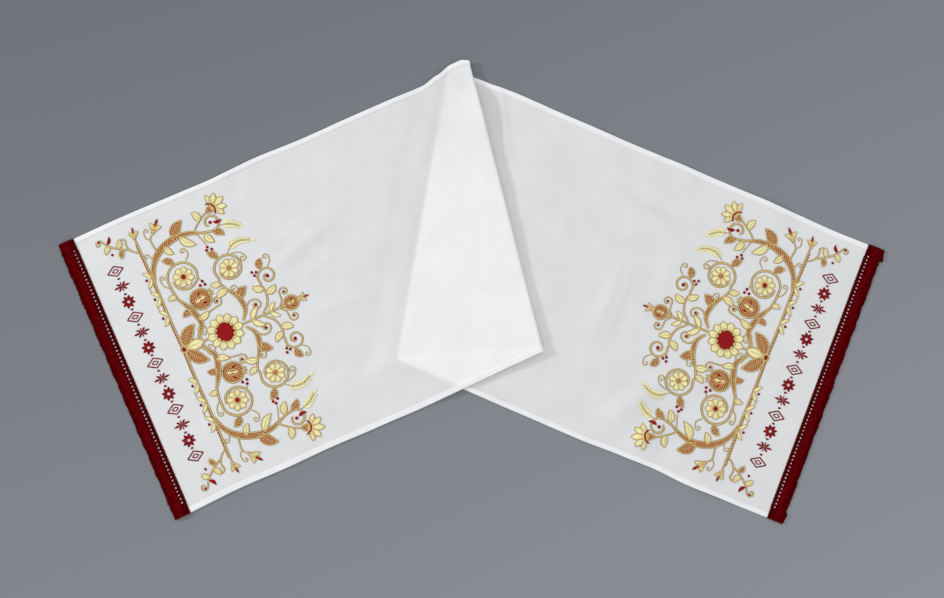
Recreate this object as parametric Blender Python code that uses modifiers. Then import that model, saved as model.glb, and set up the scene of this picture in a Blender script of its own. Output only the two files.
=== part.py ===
"""Ritual towel of white cloth with crimson lace ends, laid out with one Z pleat.

One long strip of cloth lies on a flat surface. Its left arm runs to a crisp fold
on the right of the middle, turns under, runs back as a tapering middle layer to a
soft fold, turns again and runs out below as the right arm. A lace band is sewn
over each cut end. Metres, +Z up. The origin is on the surface, below the middle
of the towel's box.

A place on the strip is given by s, its distance along the towel from the inner
edge of the left band, and t, its distance across from the upper hem.
"""

import math

import bmesh
import bpy
import numpy as np

MM = 0.001

# Cloth, as it is cut and hemmed
WIDTH = 0.370
LENGTH = 1.151                  # from one band's inner edge to the other's
TURNED_UNDER_BAND = 11 * MM     # cloth that lies below each band
CLOTH_THICKNESS = 1.0 * MM
HEM_THICKNESS = 1.5 * MM
HEM_WIDTH = 6 * MM
HEM_STEP = 1.5 * MM

# Lace bands
BAND_WIDTH = 20 * MM
BAND_THICKNESS = 1.2 * MM
BAND_END_THICKNESS = 2.0 * MM   # where a band's own end is turned under
BAND_OVERHANG = 0.5 * MM        # past the hems
BAND_DROP = 5.5 * MM            # length in which a band comes down to the surface
SEAT_GAP = 0.3 * MM
TAB_STEP = 1 * MM               # length in which a band's turned-under end stops

# Where the left arm lies: its corner at the left band and upper hem
LEFT_CORNER = np.array([-0.5013, 0.0621])
LEFT_ANGLE = math.radians(24.59)
LEFT_ALONG = np.array([math.cos(LEFT_ANGLE), math.sin(LEFT_ANGLE)])
LEFT_ACROSS = np.array([math.sin(LEFT_ANGLE), -math.cos(LEFT_ANGLE)])

# Heights of the strip's lower face where layers lie on each other
SOFT_RADIUS = 1.75 * MM         # outer radius of the soft fold
CRISP_RADIUS = 0.9 * MM         # inner radius of the crisp fold
MIDDLE_FACE = 2 * SOFT_RADIUS
TOP_FACE = MIDDLE_FACE + 0.5 * MM
TOP_FACE_ON_TWO = 2.1 * MM      # where the top layer lies on the right arm alone
SETTLE_START = 4 * MM           # the top layer starts to come down this far out
SETTLE_END = 42 * MM            # and lies on the surface this far out
SAG_LENGTH = 30 * MM            # below the middle layer's hem
LIFT_POWER = 1.6                # how late the top layer rises towards the crisp fold

# Height of the top layer's lower face along the crisp fold
# part of the fold's length from its upper end, height in mm
CRISP_LIFT = (
    (0.00, 4.6),
    (0.05, 5.6),
    (0.13, 11.0),
    (0.35, 6.5),
    (0.75, 5.0),
    (1.00, 6.0),
    (1.15, 3.5),
)

# How far each hem wanders outward from a straight line
# distance along the towel in m, upper hem in mm, lower hem in mm
HEM_WANDER = (
    (-0.02, -1.3, 0.3),
    (0.07, -0.2, -2.1),
    (0.13, -0.8, -0.9),
    (0.18, -1.5, -1.4),
    (0.25, 0.9, 0.2),
    (0.31, -0.6, 1.4),
    (0.37, 0.2, 0.9),
    (0.43, 0.4, 0.1),
    (0.49, -0.8, 0.0),
    (0.53, 2.0, 0.0),
    (0.57, 2.2, 0.0),
    (0.61, 0.0, 0.0),
    (0.66, 2.0, 0.0),
    (0.75, 0.9, 0.4),
    (0.82, 0.2, 0.8),
    (0.90, 0.5, 1.2),
    (0.96, 0.2, -0.6),
    (1.00, 0.1, -1.4),
    (1.05, -0.8, 1.0),
    (1.10, -1.9, 0.1),
    (1.18, -0.4, -1.2),
)

# Soft waves that stand up from the surface
# middle x and y in m, direction in degrees, length, half width and height in mm
WAVES = (
    (-0.225, 0.058, 41, 150, 26, 3.0),
    (-0.173, -0.027, 17, 140, 26, 2.5),
    (-0.150, -0.108, -12, 95, 24, 1.8),
    (-0.315, 0.145, 70, 70, 24, 1.5),
    (0.213, 0.096, -25, 140, 26, 2.0),
    (0.169, -0.016, 68, 180, 22, 2.0),
    (0.195, -0.141, 31, 150, 26, 3.0),
    (0.219, -0.181, 44, 110, 24, 3.0),
    (0.262, 0.155, -70, 90, 24, 1.5),
)

# How far each cut end and its band stand past square, at the upper and lower hem
LEFT_END_SKEW = (-0.4 * MM, 0.6 * MM)
RIGHT_END_SKEW = (-2.6 * MM, 3.2 * MM)

# Turned-under ends of the bands, which stand out past the outer edge
# length in mm, then how far out at the band's end and at the tab's own end in mm
LEFT_BAND_TABS = ((15, -1.0, 1.2), (14, 0.2, 0.8))
RIGHT_BAND_TABS = ((15, 2.0, 4.0), (14, 0.6, 2.4))

# Grid steps along the strip, stretch by stretch, and across it
STEPS_ALONG = {
    "left arm": 20,
    "settling": 4,
    "top of pleat": 8,
    "crisp fold": 6,
    "middle layer": 7,
    "soft fold": 6,
    "right arm": 27,
}
STEPS_ACROSS = 17
BAND_STEPS_ACROSS = 24
WANDER_ROUNDS = 3

# Colour, roughness
CLOTH_LOOK = ((0.80, 0.80, 0.81), 0.9)
LACE_LOOK = ((0.115, 0.002, 0.006), 0.85)


def smooth_step(low, high, value):
    """From 0 at low to 1 at high, level at both ends."""
    part = min(max((value - low) / (high - low), 0.0), 1.0)
    return part * part * (3 - 2 * part)


def read_table(rows, value, column):
    """A column of a table at a value of its first column, smooth between its rows."""
    for before, after in zip(rows, rows[1:]):
        if value <= after[0]:
            part = smooth_step(before[0], after[0], value)
            return before[column] + part * (after[column] - before[column])
    return rows[-1][column]


class Fold:
    """A fold line: where its outer edge crosses y = 0, its lean, side and radius."""

    def __init__(self, crossing, lean, side, radius, reach):
        angle = math.radians(lean)
        self.down = np.array([math.sin(angle), -math.cos(angle)])
        self.out = side * np.array([math.cos(angle), math.sin(angle)])
        self.axis = np.array([crossing, 0.0]) - reach * self.out
        self.radius = radius
        self.turn = math.pi * radius

    def past(self, point):
        """How far a point of the plan lies past the fold's axis."""
        return float((point - self.axis) @ self.out)

    def along(self, point):
        """How far down the fold a point of the plan lies."""
        return float((point - self.axis) @ self.down)

    def at(self, along, out):
        """The point of the plan at a distance down the fold and out from its axis."""
        return self.axis + along * self.down + out * self.out

    def reflect(self, point):
        """Where a point of the strip lands once the strip has turned at this fold."""
        return self.at(self.along(point), self.turn - self.past(point))


CRISP = Fold(crossing=0.0642, lean=14.02, side=1, radius=CRISP_RADIUS,
             reach=CRISP_RADIUS + CLOTH_THICKNESS)
SOFT = Fold(crossing=-0.0835, lean=-9.76, side=-1, radius=SOFT_RADIUS,
            reach=SOFT_RADIUS)


def on_left_arm(s, t):
    """The plan point of a place on the strip before any fold."""
    return LEFT_CORNER + s * LEFT_ALONG + t * LEFT_ACROSS


def with_wander(s, t):
    """t with the wander of the hems, shared out between them across the strip."""
    upper = read_table(HEM_WANDER, s, 1) * MM
    lower = read_table(HEM_WANDER, s, 2) * MM
    return t - upper * (1 - t / WIDTH) + lower * t / WIDTH


def where(distance_past, t, target):
    """The s at which a straight measure of the plan reaches a target on the row t."""
    s = LENGTH / 2
    for _ in range(WANDER_ROUNDS):
        row = with_wander(s, t)
        start = distance_past(on_left_arm(0.0, row))
        rate = distance_past(on_left_arm(1.0, row)) - start
        s = (target - start) / rate
    return s


def past_soft_fold_below(point):
    """The same measure for the soft fold, past the crisp one."""
    return SOFT.past(CRISP.reflect(point))


def left_end(t):
    """The s of the left band's inner edge on the row at t."""
    return -(LEFT_END_SKEW[0] + (LEFT_END_SKEW[1] - LEFT_END_SKEW[0]) * t / WIDTH)


def right_end(t):
    """The s of the right band's inner edge on the row at t."""
    return LENGTH + RIGHT_END_SKEW[0] + (RIGHT_END_SKEW[1] - RIGHT_END_SKEW[0]) * t / WIDTH


CRISP_TOP = CRISP.along(on_left_arm(where(CRISP.past, 0.0, 0.0), 0.0))
CRISP_BOTTOM = CRISP.along(on_left_arm(where(CRISP.past, WIDTH, 0.0), WIDTH))
MIDDLE_HEM_RIGHT = CRISP.at(CRISP_BOTTOM, 0.0)
MIDDLE_HEM_LEFT = CRISP.reflect(on_left_arm(where(past_soft_fold_below, WIDTH, 0.0), WIDTH))


def right_of(start, end):
    """The direction square to a line of the plan, on its right."""
    along = (end - start) / np.linalg.norm(end - start)
    return np.array([along[1], -along[0]])


def on_right_arm(s, t):
    """The plan point of a place on the right arm, after both folds."""
    return SOFT.reflect(CRISP.reflect(on_left_arm(s, t)))


MIDDLE_HEM_OUT = right_of(MIDDLE_HEM_LEFT, MIDDLE_HEM_RIGHT)
RIGHT_HEM_OUT = right_of(on_right_arm(LENGTH - WIDTH, WIDTH), on_right_arm(LENGTH, WIDTH))


def crisp_height(along):
    """Height of the strip's lower face where the crisp fold starts."""
    part = (along - CRISP_TOP) / (CRISP_BOTTOM - CRISP_TOP)
    return read_table(CRISP_LIFT, part, 1) * MM


def rise(point):
    """0 at the soft fold, 1 at the crisp fold."""
    from_soft = max(-SOFT.past(point), 0.0)
    from_crisp = max(-CRISP.past(point), 0.0)
    return (from_soft / (from_soft + from_crisp)) ** LIFT_POWER


def middle_height(point):
    """Height of the middle layer's upper face, the strip's turned-over lower face."""
    at_crisp = crisp_height(CRISP.along(point)) - 2 * CRISP.radius
    return MIDDLE_FACE + rise(point) * (at_crisp - MIDDLE_FACE)


def top_height(point):
    """Height of the left arm's lower face, over the pleat and down to the surface."""
    below_middle = float((point - MIDDLE_HEM_LEFT) @ MIDDLE_HEM_OUT)
    sag = smooth_step(2 * MM, SAG_LENGTH, below_middle)
    base = TOP_FACE + sag * (TOP_FACE_ON_TWO - TOP_FACE)
    over_pleat = base + rise(point) * (crisp_height(CRISP.along(point)) - base)
    past_right_hem = float((point - MIDDLE_HEM_LEFT) @ RIGHT_HEM_OUT)
    outside = max(SOFT.past(point), past_right_hem)
    return over_pleat * (1 - smooth_step(SETTLE_START, SETTLE_END, outside))


def wave_height(point):
    """Height that the soft waves add at a point of the plan."""
    total = 0.0
    for x, y, direction, length, half_width, height in WAVES:
        offset = point - np.array([x, y])
        angle = math.radians(direction)
        along = abs(offset @ np.array([math.cos(angle), math.sin(angle)]))
        aside = abs(offset @ np.array([-math.sin(angle), math.cos(angle)]))
        if along < length * MM / 2 and aside < half_width * MM:
            end_part = math.cos(math.pi * along / (length * MM)) ** 2
            side_part = math.cos(math.pi * aside / (2 * half_width * MM)) ** 2
            total += height * MM * end_part * side_part
    return total


def lay_out(s, t):
    """The plan point and height of the strip's lower face at a place on it."""
    flat = on_left_arm(s, with_wander(s, t))
    past_crisp = CRISP.past(flat)
    if past_crisp <= 0:
        return flat, top_height(flat) + wave_height(flat)
    along = CRISP.along(flat)
    if past_crisp < CRISP.turn:
        angle = past_crisp / CRISP.radius
        drop = CRISP.radius * (1 - math.cos(angle))
        return CRISP.at(along, CRISP.radius * math.sin(angle)), crisp_height(along) - drop
    middle = CRISP.reflect(flat)
    past_soft = SOFT.past(middle)
    if past_soft <= 0:
        return middle, middle_height(middle)
    if past_soft < SOFT.turn:
        angle = past_soft / SOFT.radius
        turned = SOFT.at(SOFT.along(middle), SOFT.radius * math.sin(angle))
        return turned, SOFT.radius * (1 + math.cos(angle))
    right = SOFT.reflect(middle)
    return right, wave_height(right)


def spread(start, end, steps):
    """Steps of equal length that leave out the start."""
    return [start + (end - start) * step / steps for step in range(1, steps + 1)]


def grid_along(t):
    """The lengths along the strip where its grid lines cross the row at t."""
    marks = (
        left_end(t) - TURNED_UNDER_BAND,
        where(SOFT.past, t, SETTLE_END),
        where(SOFT.past, t, SETTLE_START),
        where(CRISP.past, t, 0.0),
        where(CRISP.past, t, CRISP.turn),
        where(past_soft_fold_below, t, 0.0),
        where(past_soft_fold_below, t, SOFT.turn),
        right_end(t) + TURNED_UNDER_BAND,
    )
    lengths = [marks[0]]
    for start, end, steps in zip(marks, marks[1:], STEPS_ALONG.values()):
        lengths += spread(start, end, steps)
    return lengths


def grid_across():
    """The rows of the cloth's grid, closer together at each hem's step."""
    edge = [0.0, HEM_WIDTH, HEM_WIDTH + HEM_STEP]
    far_edge = [WIDTH - row for row in reversed(edge)]
    return edge + spread(edge[-1], far_edge[0], STEPS_ACROSS)[:-1] + far_edge


def face_material(name, look):
    """A plain material of a colour and roughness."""
    colour, roughness = look
    material = bpy.data.materials.new(name)
    material.use_nodes = True
    shader = material.node_tree.nodes["Principled BSDF"]
    shader.inputs["Base Color"].default_value = (*colour, 1.0)
    shader.inputs["Roughness"].default_value = roughness
    shader.inputs["Metallic"].default_value = 0.0
    return material


def solid_sheet(name, columns, rows, place, is_thick, thick, thin, look):
    """A closed sheet on a grid: place gives each lower point, is_thick its thickness."""
    grid = bmesh.new()
    bmesh.ops.create_grid(grid, x_segments=columns, y_segments=rows, size=0.5)
    thick_points = []
    for vertex in grid.verts:
        column = round((vertex.co.x + 0.5) * columns)
        row = rows - round((vertex.co.y + 0.5) * rows)
        vertex.co = place(column, row)
        if is_thick(column, row):
            thick_points.append(vertex.index)
    mesh = bpy.data.meshes.new(name)
    grid.to_mesh(mesh)
    grid.free()
    mesh.materials.append(face_material(name, look))
    sheet = bpy.data.objects.new(name, mesh)
    sheet.vertex_groups.new(name="thick").add(thick_points, 1.0, "REPLACE")
    solid = sheet.modifiers.new("thickness", "SOLIDIFY")
    solid.thickness = thick
    solid.offset = 1.0
    solid.use_even_offset = True
    solid.use_quality_normals = True
    solid.vertex_group = "thick"
    solid.thickness_vertex_group = thin / thick
    return sheet


def make_cloth():
    """The folded strip, thicker at its hems."""
    across = grid_across()
    along = [grid_along(t) for t in across]

    def place(column, row):
        """The lower point of the grid at a column and row."""
        point, height = lay_out(along[row][column], across[row])
        return (*point, height)

    def is_thick(column, row):
        """Whether the grid's point is on a hem."""
        return min(across[row], WIDTH - across[row]) <= HEM_WIDTH

    return solid_sheet("cloth", sum(STEPS_ALONG.values()), len(across) - 1, place,
                       is_thick, HEM_THICKNESS, CLOTH_THICKNESS, CLOTH_LOOK)


def cloth_top(t):
    """Height of the flat cloth's upper face on the row at t."""
    from_hem = min(t, WIDTH - t)
    step = smooth_step(HEM_WIDTH, HEM_WIDTH + HEM_STEP, from_hem)
    return HEM_THICKNESS + step * (CLOTH_THICKNESS - HEM_THICKNESS)


def stand_out(t, tabs):
    """How far a band's outer edge stands out at its turned-under ends."""
    for tab, from_end in zip(tabs, (t, WIDTH - t)):
        length, at_end, at_tab_end = (size * MM for size in tab)
        if from_end <= length:
            return at_end + (at_tab_end - at_end) * max(from_end, 0.0) / length
    return 0.0


def make_band(name, inner_edge, outward, tabs):
    """A lace band over a cut end; inner_edge gives its s, outward is -1 or 1 along s."""
    drop_start = TURNED_UNDER_BAND + SEAT_GAP
    drop_end = drop_start + BAND_DROP
    outs = (0.0, drop_start / 2, drop_start, drop_end, BAND_WIDTH)
    ends = [tab[0] * MM for tab in tabs]
    hem_end = HEM_WIDTH + HEM_STEP
    first = [-BAND_OVERHANG, HEM_WIDTH, hem_end + SEAT_GAP, ends[0], ends[0] + TAB_STEP]
    last = [WIDTH - ends[1] - TAB_STEP, WIDTH - ends[1], WIDTH - hem_end - SEAT_GAP,
            WIDTH - HEM_WIDTH, WIDTH + BAND_OVERHANG]
    across = first + spread(first[-1], last[0], BAND_STEPS_ACROSS)[:-1] + last

    def place(column, row):
        """The lower point of the grid at a column and row."""
        out = outs[column] if outward > 0 else outs[-1 - column]
        t = across[row]
        if out == BAND_WIDTH:
            reach = out + stand_out(t, tabs)
        else:
            reach = out
        point = lay_out(inner_edge(t) + outward * reach, t)[0]
        height = (cloth_top(t) + SEAT_GAP) * (1 - smooth_step(drop_start, drop_end, out))
        return (*point, height)

    def is_thick(column, row):
        """Whether the grid's point is on a turned-under end."""
        return across[row] <= ends[0] or across[row] >= WIDTH - ends[1]

    return solid_sheet(name, len(outs) - 1, len(across) - 1, place, is_thick,
                       BAND_END_THICKNESS, BAND_THICKNESS, LACE_LOOK)


def main():
    """Clears the scene and makes the towel's three parts."""
    for thing in list(bpy.data.objects):
        bpy.data.objects.remove(thing)
    towel = bpy.data.collections.new("ritual_towel")
    bpy.context.scene.collection.children.link(towel)
    towel.objects.link(make_cloth())
    towel.objects.link(make_band("lace_band_left", left_end, -1, LEFT_BAND_TABS))
    towel.objects.link(make_band("lace_band_right", right_end, 1, RIGHT_BAND_TABS))


main()
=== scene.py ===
"""Ritual towel of white cloth with embroidered ends and crimson lace, laid in a Z pleat.

The strip is mapped by s, the distance along the towel from the inner edge of the left
band, and t, the distance across it from the upper hem. Everything on the towel, from
the lace to the last stitch, is placed by s, t and a height above the strip's lower face.
"""

import math
from collections import namedtuple

import bpy
from mathutils import Euler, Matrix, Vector
import numpy as np


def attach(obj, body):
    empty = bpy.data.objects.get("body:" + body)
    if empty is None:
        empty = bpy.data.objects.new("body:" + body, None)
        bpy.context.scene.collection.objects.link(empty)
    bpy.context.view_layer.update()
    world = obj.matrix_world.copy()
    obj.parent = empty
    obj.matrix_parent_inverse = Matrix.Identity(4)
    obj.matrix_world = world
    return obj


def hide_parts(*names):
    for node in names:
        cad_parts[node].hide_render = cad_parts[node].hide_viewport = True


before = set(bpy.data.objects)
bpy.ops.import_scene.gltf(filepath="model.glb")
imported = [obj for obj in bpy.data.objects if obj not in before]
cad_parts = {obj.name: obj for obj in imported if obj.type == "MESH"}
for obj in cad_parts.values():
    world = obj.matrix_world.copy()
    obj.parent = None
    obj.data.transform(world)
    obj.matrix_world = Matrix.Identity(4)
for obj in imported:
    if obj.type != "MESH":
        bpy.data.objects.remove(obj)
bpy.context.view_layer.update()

MM = 0.001

# Cloth, as it is cut and hemmed
WIDTH = 0.370
LENGTH = 1.151                  # from one band's inner edge to the other's
TURNED_UNDER_BAND = 11 * MM     # cloth that lies below each band
CLOTH_THICKNESS = 0.7 * MM
HEM_THICKNESS = 1.35 * MM
HEM_WIDTH = 6 * MM
HEM_STEP = 0.9 * MM
EDGE_ROUND = 0.65 * MM
SHARP_ANGLE = math.radians(60)

# Where the left arm lies: its corner at the left band and upper hem
LEFT_CORNER = np.array([-0.5013, 0.0621])
LEFT_ANGLE = math.radians(24.59)
LEFT_ALONG = np.array([math.cos(LEFT_ANGLE), math.sin(LEFT_ANGLE)])
LEFT_ACROSS = np.array([math.sin(LEFT_ANGLE), -math.cos(LEFT_ANGLE)])

# Heights of the strip's lower face where layers lie on each other
SOFT_RADIUS = 1.75 * MM         # outer radius of the soft fold
CRISP_RADIUS = 0.9 * MM         # inner radius of the crisp fold
MIDDLE_FACE = 2 * SOFT_RADIUS
TOP_FACE = MIDDLE_FACE + 0.5 * MM
TOP_FACE_ON_TWO = 2.1 * MM
SETTLE_START = 4 * MM
SETTLE_END = 42 * MM
SAG_START = 2 * MM
SAG_END = 30 * MM
LIFT_POWER = 1.6
CRISP_REACH = 1.9 * MM          # from the crisp fold's axis to its outer edge

# Height of the top layer's lower face along the crisp fold
# part of the fold's length from its upper end, height in mm
CRISP_LIFT = (
    (0.00, 4.6),
    (0.05, 5.6),
    (0.13, 11.0),
    (0.35, 6.5),
    (0.75, 5.0),
    (1.00, 6.0),
    (1.15, 3.5),
)

# How far each hem wanders outward from a straight line
# distance along the towel in m, upper hem in mm, lower hem in mm
HEM_WANDER = (
    (-0.02, -1.3, 0.3),
    (0.07, -0.2, -2.1),
    (0.13, -0.8, -0.9),
    (0.18, -1.5, -1.4),
    (0.25, 0.9, 0.2),
    (0.31, -0.6, 1.4),
    (0.37, 0.2, 0.9),
    (0.43, 0.4, 0.1),
    (0.475, -0.6, 0.0),
    (0.499, 4.2, 0.0),
    (0.520, 9.4, 0.0),
    (0.532, 9.6, 0.0),
    (0.549, 3.0, 0.0),
    (0.575, -2.5, 0.0),
    (0.62, 0.0, 0.0),
    (0.66, 2.0, 0.0),
    (0.75, 0.9, 0.4),
    (0.82, 0.2, 0.8),
    (0.90, 0.5, 1.2),
    (0.96, 0.2, -0.6),
    (1.00, 0.1, -1.4),
    (1.05, -0.8, 1.0),
    (1.10, -1.9, 0.1),
    (1.18, -0.4, -1.2),
)

# Soft waves that stand up from the surface, as on the solids
# middle x and y in m, direction in degrees, length, half width and height in mm
WAVES = (
    (-0.225, 0.058, 41, 150, 26, 3.0),
    (-0.173, -0.027, 17, 140, 26, 2.5),
    (-0.150, -0.108, -12, 95, 24, 1.8),
    (-0.315, 0.145, 70, 70, 24, 1.5),
    (0.213, 0.096, -25, 140, 26, 2.0),
    (0.169, -0.016, 68, 180, 22, 2.0),
    (0.195, -0.141, 31, 150, 26, 3.0),
    (0.219, -0.181, 44, 110, 24, 3.0),
    (0.262, 0.155, -70, 90, 24, 1.5),
)

# Creases, placed one by one
# middle x and y in m, direction in degrees, length, half width and height in mm, bend in mm
CREASES = (
    (-0.2253, 0.0577, 41.0, 110, 8.0, -1.70, 5),
    (-0.2000, 0.0300, 38.0, 60, 5.0, 0.70, -3),
    (-0.1727, -0.0269, 17.0, 97, 8.5, -1.45, -4),
    (-0.2000, 0.0000, 12.0, 60, 6.0, -0.80, 3),
    (-0.1566, -0.1021, -14.5, 64, 8.0, -1.25, 3),
    (0.0350, 0.2150, -83.0, 105, 4.6, 1.60, 0),
    (0.2130, 0.0963, -25.0, 103, 6.5, 1.75, 4),
    (0.1687, -0.0160, -112.0, 130, 3.4, -1.00, 3),
    (0.1849, -0.0746, 17.0, 86, 5.0, 0.55, -5),
    (0.1947, -0.1411, 31.0, 103, 7.5, 0.90, 4),
    (0.2140, -0.1782, 43.5, 66, 7.0, 1.15, 2),
    (0.2169, 0.1381, -109.0, 61, 7.0, 0.60, 3),
    (-0.2851, 0.1283, -91.0, 70, 8.0, 0.55, -3),
    (0.1043, -0.0529, -3.0, 100, 8.0, 0.45, 3),
    (0.2468, 0.0233, -123.0, 84, 8.0, 0.60, -4),
    (0.1250, 0.1050, -52.0, 90, 9.0, 0.50, 5),
    (-0.3350, 0.0150, 62.0, 80, 9.0, 0.45, 4),
)
CREASE_FADE = (0.25, 1.15)      # parts of its half length between which a crease fades out

# Places where a hem stands off the surface
# middle x and y in m, direction along the hem in degrees, length, half width and height in mm, bend in mm
HEM_LIFTS = (
    (0.372, 0.112, -26, 95, 16, 2.2, 0),
    (0.160, 0.190, -26, 80, 14, 1.0, 0),
    (-0.095, -0.182, 24, 90, 14, 1.6, 0),
    (-0.300, 0.165, 25, 70, 13, 1.0, 0),
    (0.290, -0.262, -26, 80, 14, 1.4, 0),
)
HEM_LIFT_FADE = (0.1, 1.0)

# Low ripples over the whole cloth
# wave length in mm, direction in degrees, height in mm
RIPPLES = (
    (71, 35, 0.30),
    (53, 112, 0.26),
    (37, 68, 0.22),
    (29, 151, 0.19),
    (21, 20, 0.12),
    (16, 96, 0.080),
)
RIPPLE_TURN = 2.4               # radians by which each ripple's phase is moved on
END_EASE = 45 * MM              # creases and ripples fade out towards the bands

# How a hem's own seam draws it in along its length
# pitch in mm, part of the whole, then how far the pitch swings in radians and over what length in mm
PUCKERS = (
    (17, 0.28, 2, 41),
    (9.5, 0.22, 3, 27),
)
PUCKER_DEPTH = 0.35 * MM

# How far each cut end and its band stand past square, at the upper and lower hem
LEFT_END_SKEW = (-0.4 * MM, 0.6 * MM)
RIGHT_END_SKEW = (-2.6 * MM, 3.2 * MM)

# Grid steps along the strip, stretch by stretch, and across it
STEPS_ALONG = {
    "left arm": 98,
    "settling": 12,
    "top of pleat": 40,
    "crisp fold": 8,
    "middle layer": 30,
    "soft fold": 10,
    "right arm": 122,
}
HEM_ROWS = (0.0, 0.2, 0.65, 1.5, 2.8, 4.2, 5.3, 6.0, 6.45, 6.9, 8.6, 11.0)  # mm from the edge
STEPS_ACROSS = 84
WANDER_ROUNDS = 3
TINY = 1e-9

# Hem stitches
STITCH_START = 22 * MM
STITCH_PITCH = 3.1 * MM
STITCH_LENGTH = 2.2 * MM
STITCH_WIDTH = 0.5 * MM
STITCH_ROW = 5.0 * MM           # from the edge
STITCH_RISE = 0.22 * MM
STITCH_ROOT = 0.15 * MM         # how deep a stitch sits in the cloth
STITCH_STRAY = 0.12 * MM
STITCH_STRAY_LENGTH = 13 * MM

# Lace bands
BAND_WIDTH = 20 * MM
BAND_THICKNESS = 1.1 * MM
BAND_TAB_THICKNESS = 1.9 * MM   # where a band's own end is turned under
BAND_OVERHANG = 0.5 * MM        # past the hems
BAND_SEAT = 0.15 * MM
BAND_DROP = 5.5 * MM
DROP_START = TURNED_UNDER_BAND + 0.3 * MM
LACE_ROWS = 612
LACE_COLUMNS = 33
LACE_REPEAT = 8                 # grid rows from hole to hole
LACE_FIRST_HOLE = 24
LACE_HOLE_COLUMN = 6
HOLE_RADIUS = 1.08 * MM
HOLE_VARIATION = 0.22 * MM
FINE_HOLE_COLUMNS = ((24, 0.55), (28, 0.45))  # grid column, and the share of its holes that are open
FINE_HOLE_RADIUS = 0.34 * MM
PICOT_PITCH = 3.0 * MM
PICOT_HEIGHT = 1.1 * MM
INNER_PICOT_ROOT = 1.5 * MM
OUTER_PICOT_ROOT = 2.2 * MM
BRAID_WIDTH = 2.5 * MM
BRAID_PITCH = 2.43 * MM
BRAID_RISE = 0.42 * MM
BAND_SWELL = 0.12 * MM
EDGE_WOBBLE = 0.5 * MM
BAND_EDGE_PART = 0.30           # part of its thickness that a band has at its very edges
INNER_ROUNDING = 3.5 * MM
OUTER_ROUNDING = 1.2 * MM
HOLE_LINE_THINNING = 0.50
HOLE_LINE_WIDTH = 1.9 * MM

# Turned-under ends of the bands, which stand out past the outer edge
# length in mm, then how far out at the band's end and at the tab's own end in mm
LEFT_BAND_TABS = ((15, -1.0, 1.2), (14, 0.2, 0.8))
RIGHT_BAND_TABS = ((15, 2.0, 4.0), (14, 0.6, 2.4))

# Embroidery
LINE_WIDTHS = {"gold": 1.35}
NARROW_STROKE = 1.8             # mm
NARROW_PROFILE = (0.0, 0.2, 0.5, 0.8, 1.0)
WIDE_PROFILE = (0.0, 0.10, 0.28, 0.5, 0.72, 0.90, 1.0)
CROWN_POWER = 2.3
EDGE_RISE = 0.12                # how high a stroke's edges stand, as a part of its height
STROKE_RISE = 0.8 * MM
STROKE_ROOT = 0.15 * MM
LAYER_STEP = 0.004 * MM         # keeps crossing strokes from lying at one height
LAYER_COUNT = 11
THREAD_PITCH = 0.42 * MM
THREAD_SLANT = 0.35
TONE_TURN = 2.4                 # radians by which each stroke's tone moves on
CURL_STEPS = 10                 # to each turn
RUN_STEPS = 12                  # from point to point of a smooth run

# Petals of a carnation
# swing in degrees, length and width as parts of its size
CARNATION_PETALS = (
    (-56, 0.80, 0.25),
    (56, 0.80, 0.25),
    (-30, 0.95, 0.28),
    (30, 0.95, 0.28),
    (0, 1.02, 0.30),
)

# Linear colours of each thread: its edge, its face and its lightest streaks
THREAD_COLOURS = {
    "gold": ((0.165, 0.090, 0.020, 1), (0.42, 0.275, 0.085, 1), (0.62, 0.47, 0.19, 1)),
    "lemon": ((0.60, 0.50, 0.13, 1), (0.76, 0.69, 0.25, 1), (0.84, 0.80, 0.42, 1)),
    "copper": ((0.19, 0.065, 0.018, 1), (0.15, 0.026, 0.010, 1), (0.24, 0.055, 0.018, 1)),
    "red": ((0.10, 0.001, 0.002, 1), (0.20, 0.003, 0.004, 1), (0.34, 0.010, 0.011, 1)),
    "crimson": ((0.11, 0.002, 0.004, 1), (0.15, 0.003, 0.006, 1), (0.22, 0.007, 0.011, 1)),
}
# How near a stroke's edge its edge colour starts and is full
THREAD_BORDERS = {"gold": (0.30, 0.85), "lemon": (0.62, 1.0), "copper": (0.85, 1.0),
                  "red": (0.70, 1.0), "crimson": (0.70, 1.0)}
THREAD_GLOSS = {"gold": 0.20, "lemon": 0.20, "copper": 0.12, "red": 0.05, "crimson": 0.03}
# The pitch of each net of crossed threads, in m along and across, and the ground below it
HATCHING = {
    "copper": (3.5 * MM, (0.69, 0.41, 0.16, 1)),
    "red": (3.4 * MM, (0.11, 0.001, 0.002, 1)),
}

# Cloth and lace colours, the cloth's as grey values
SINGLE_LAYER = 0.650
THREE_LAYERS = 0.800
THREE_WHITENESS = 0.77          # how far three layers come from the one to the other
# Two layers are set whiter than three: partly their show-through, partly painted light on the sagging
# two-layer part, which tilts away from the light
TWO_LAYERS_WITH_PAINTED_LIGHT = 0.90
HEM_LINE_WHITENESS = 0.20
HIDDEN_HEM = 5.5 * MM           # width of the hidden hem that shows through
CLOUDINESS = 0.15
HEM_WHITENESS = 0.75
SOFT_SHADE_DARKNESS = 0.075     # beside the soft fold
SOFT_SHADE_START = (-1 * MM, 7 * MM)   # out from the fold, where it is none and full
SOFT_SHADE_END = (58 * MM, 22 * MM)
SOFT_SHADE_DOWN = (-0.10, 0.06)        # y, where it is none and full, in m
APEX_SHADED_WHITENESS = 0.35           # part of the whiteness left at the pleat's upper corner, painted shade over its raised top
APEX_SHADE_SPAN = (0.27, 0.10)        # y at that corner and where the painted shade ends, in m
WEAVE_PITCH = 0.62 * MM
LACE_DARK = (0.054, 0.0004, 0.0012, 1)
LACE_LIGHT = (0.112, 0.0010, 0.0028, 1)
# Painted shade for the furrows between the lace's cords
LACE_PAINTED_SHADE = (0.024, 0.0002, 0.0007, 1)
WORN_START = (5 * MM, 9 * MM)   # across a band, where it isn't worn and where fully
WORN_END = (18 * MM, 13 * MM)

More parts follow.
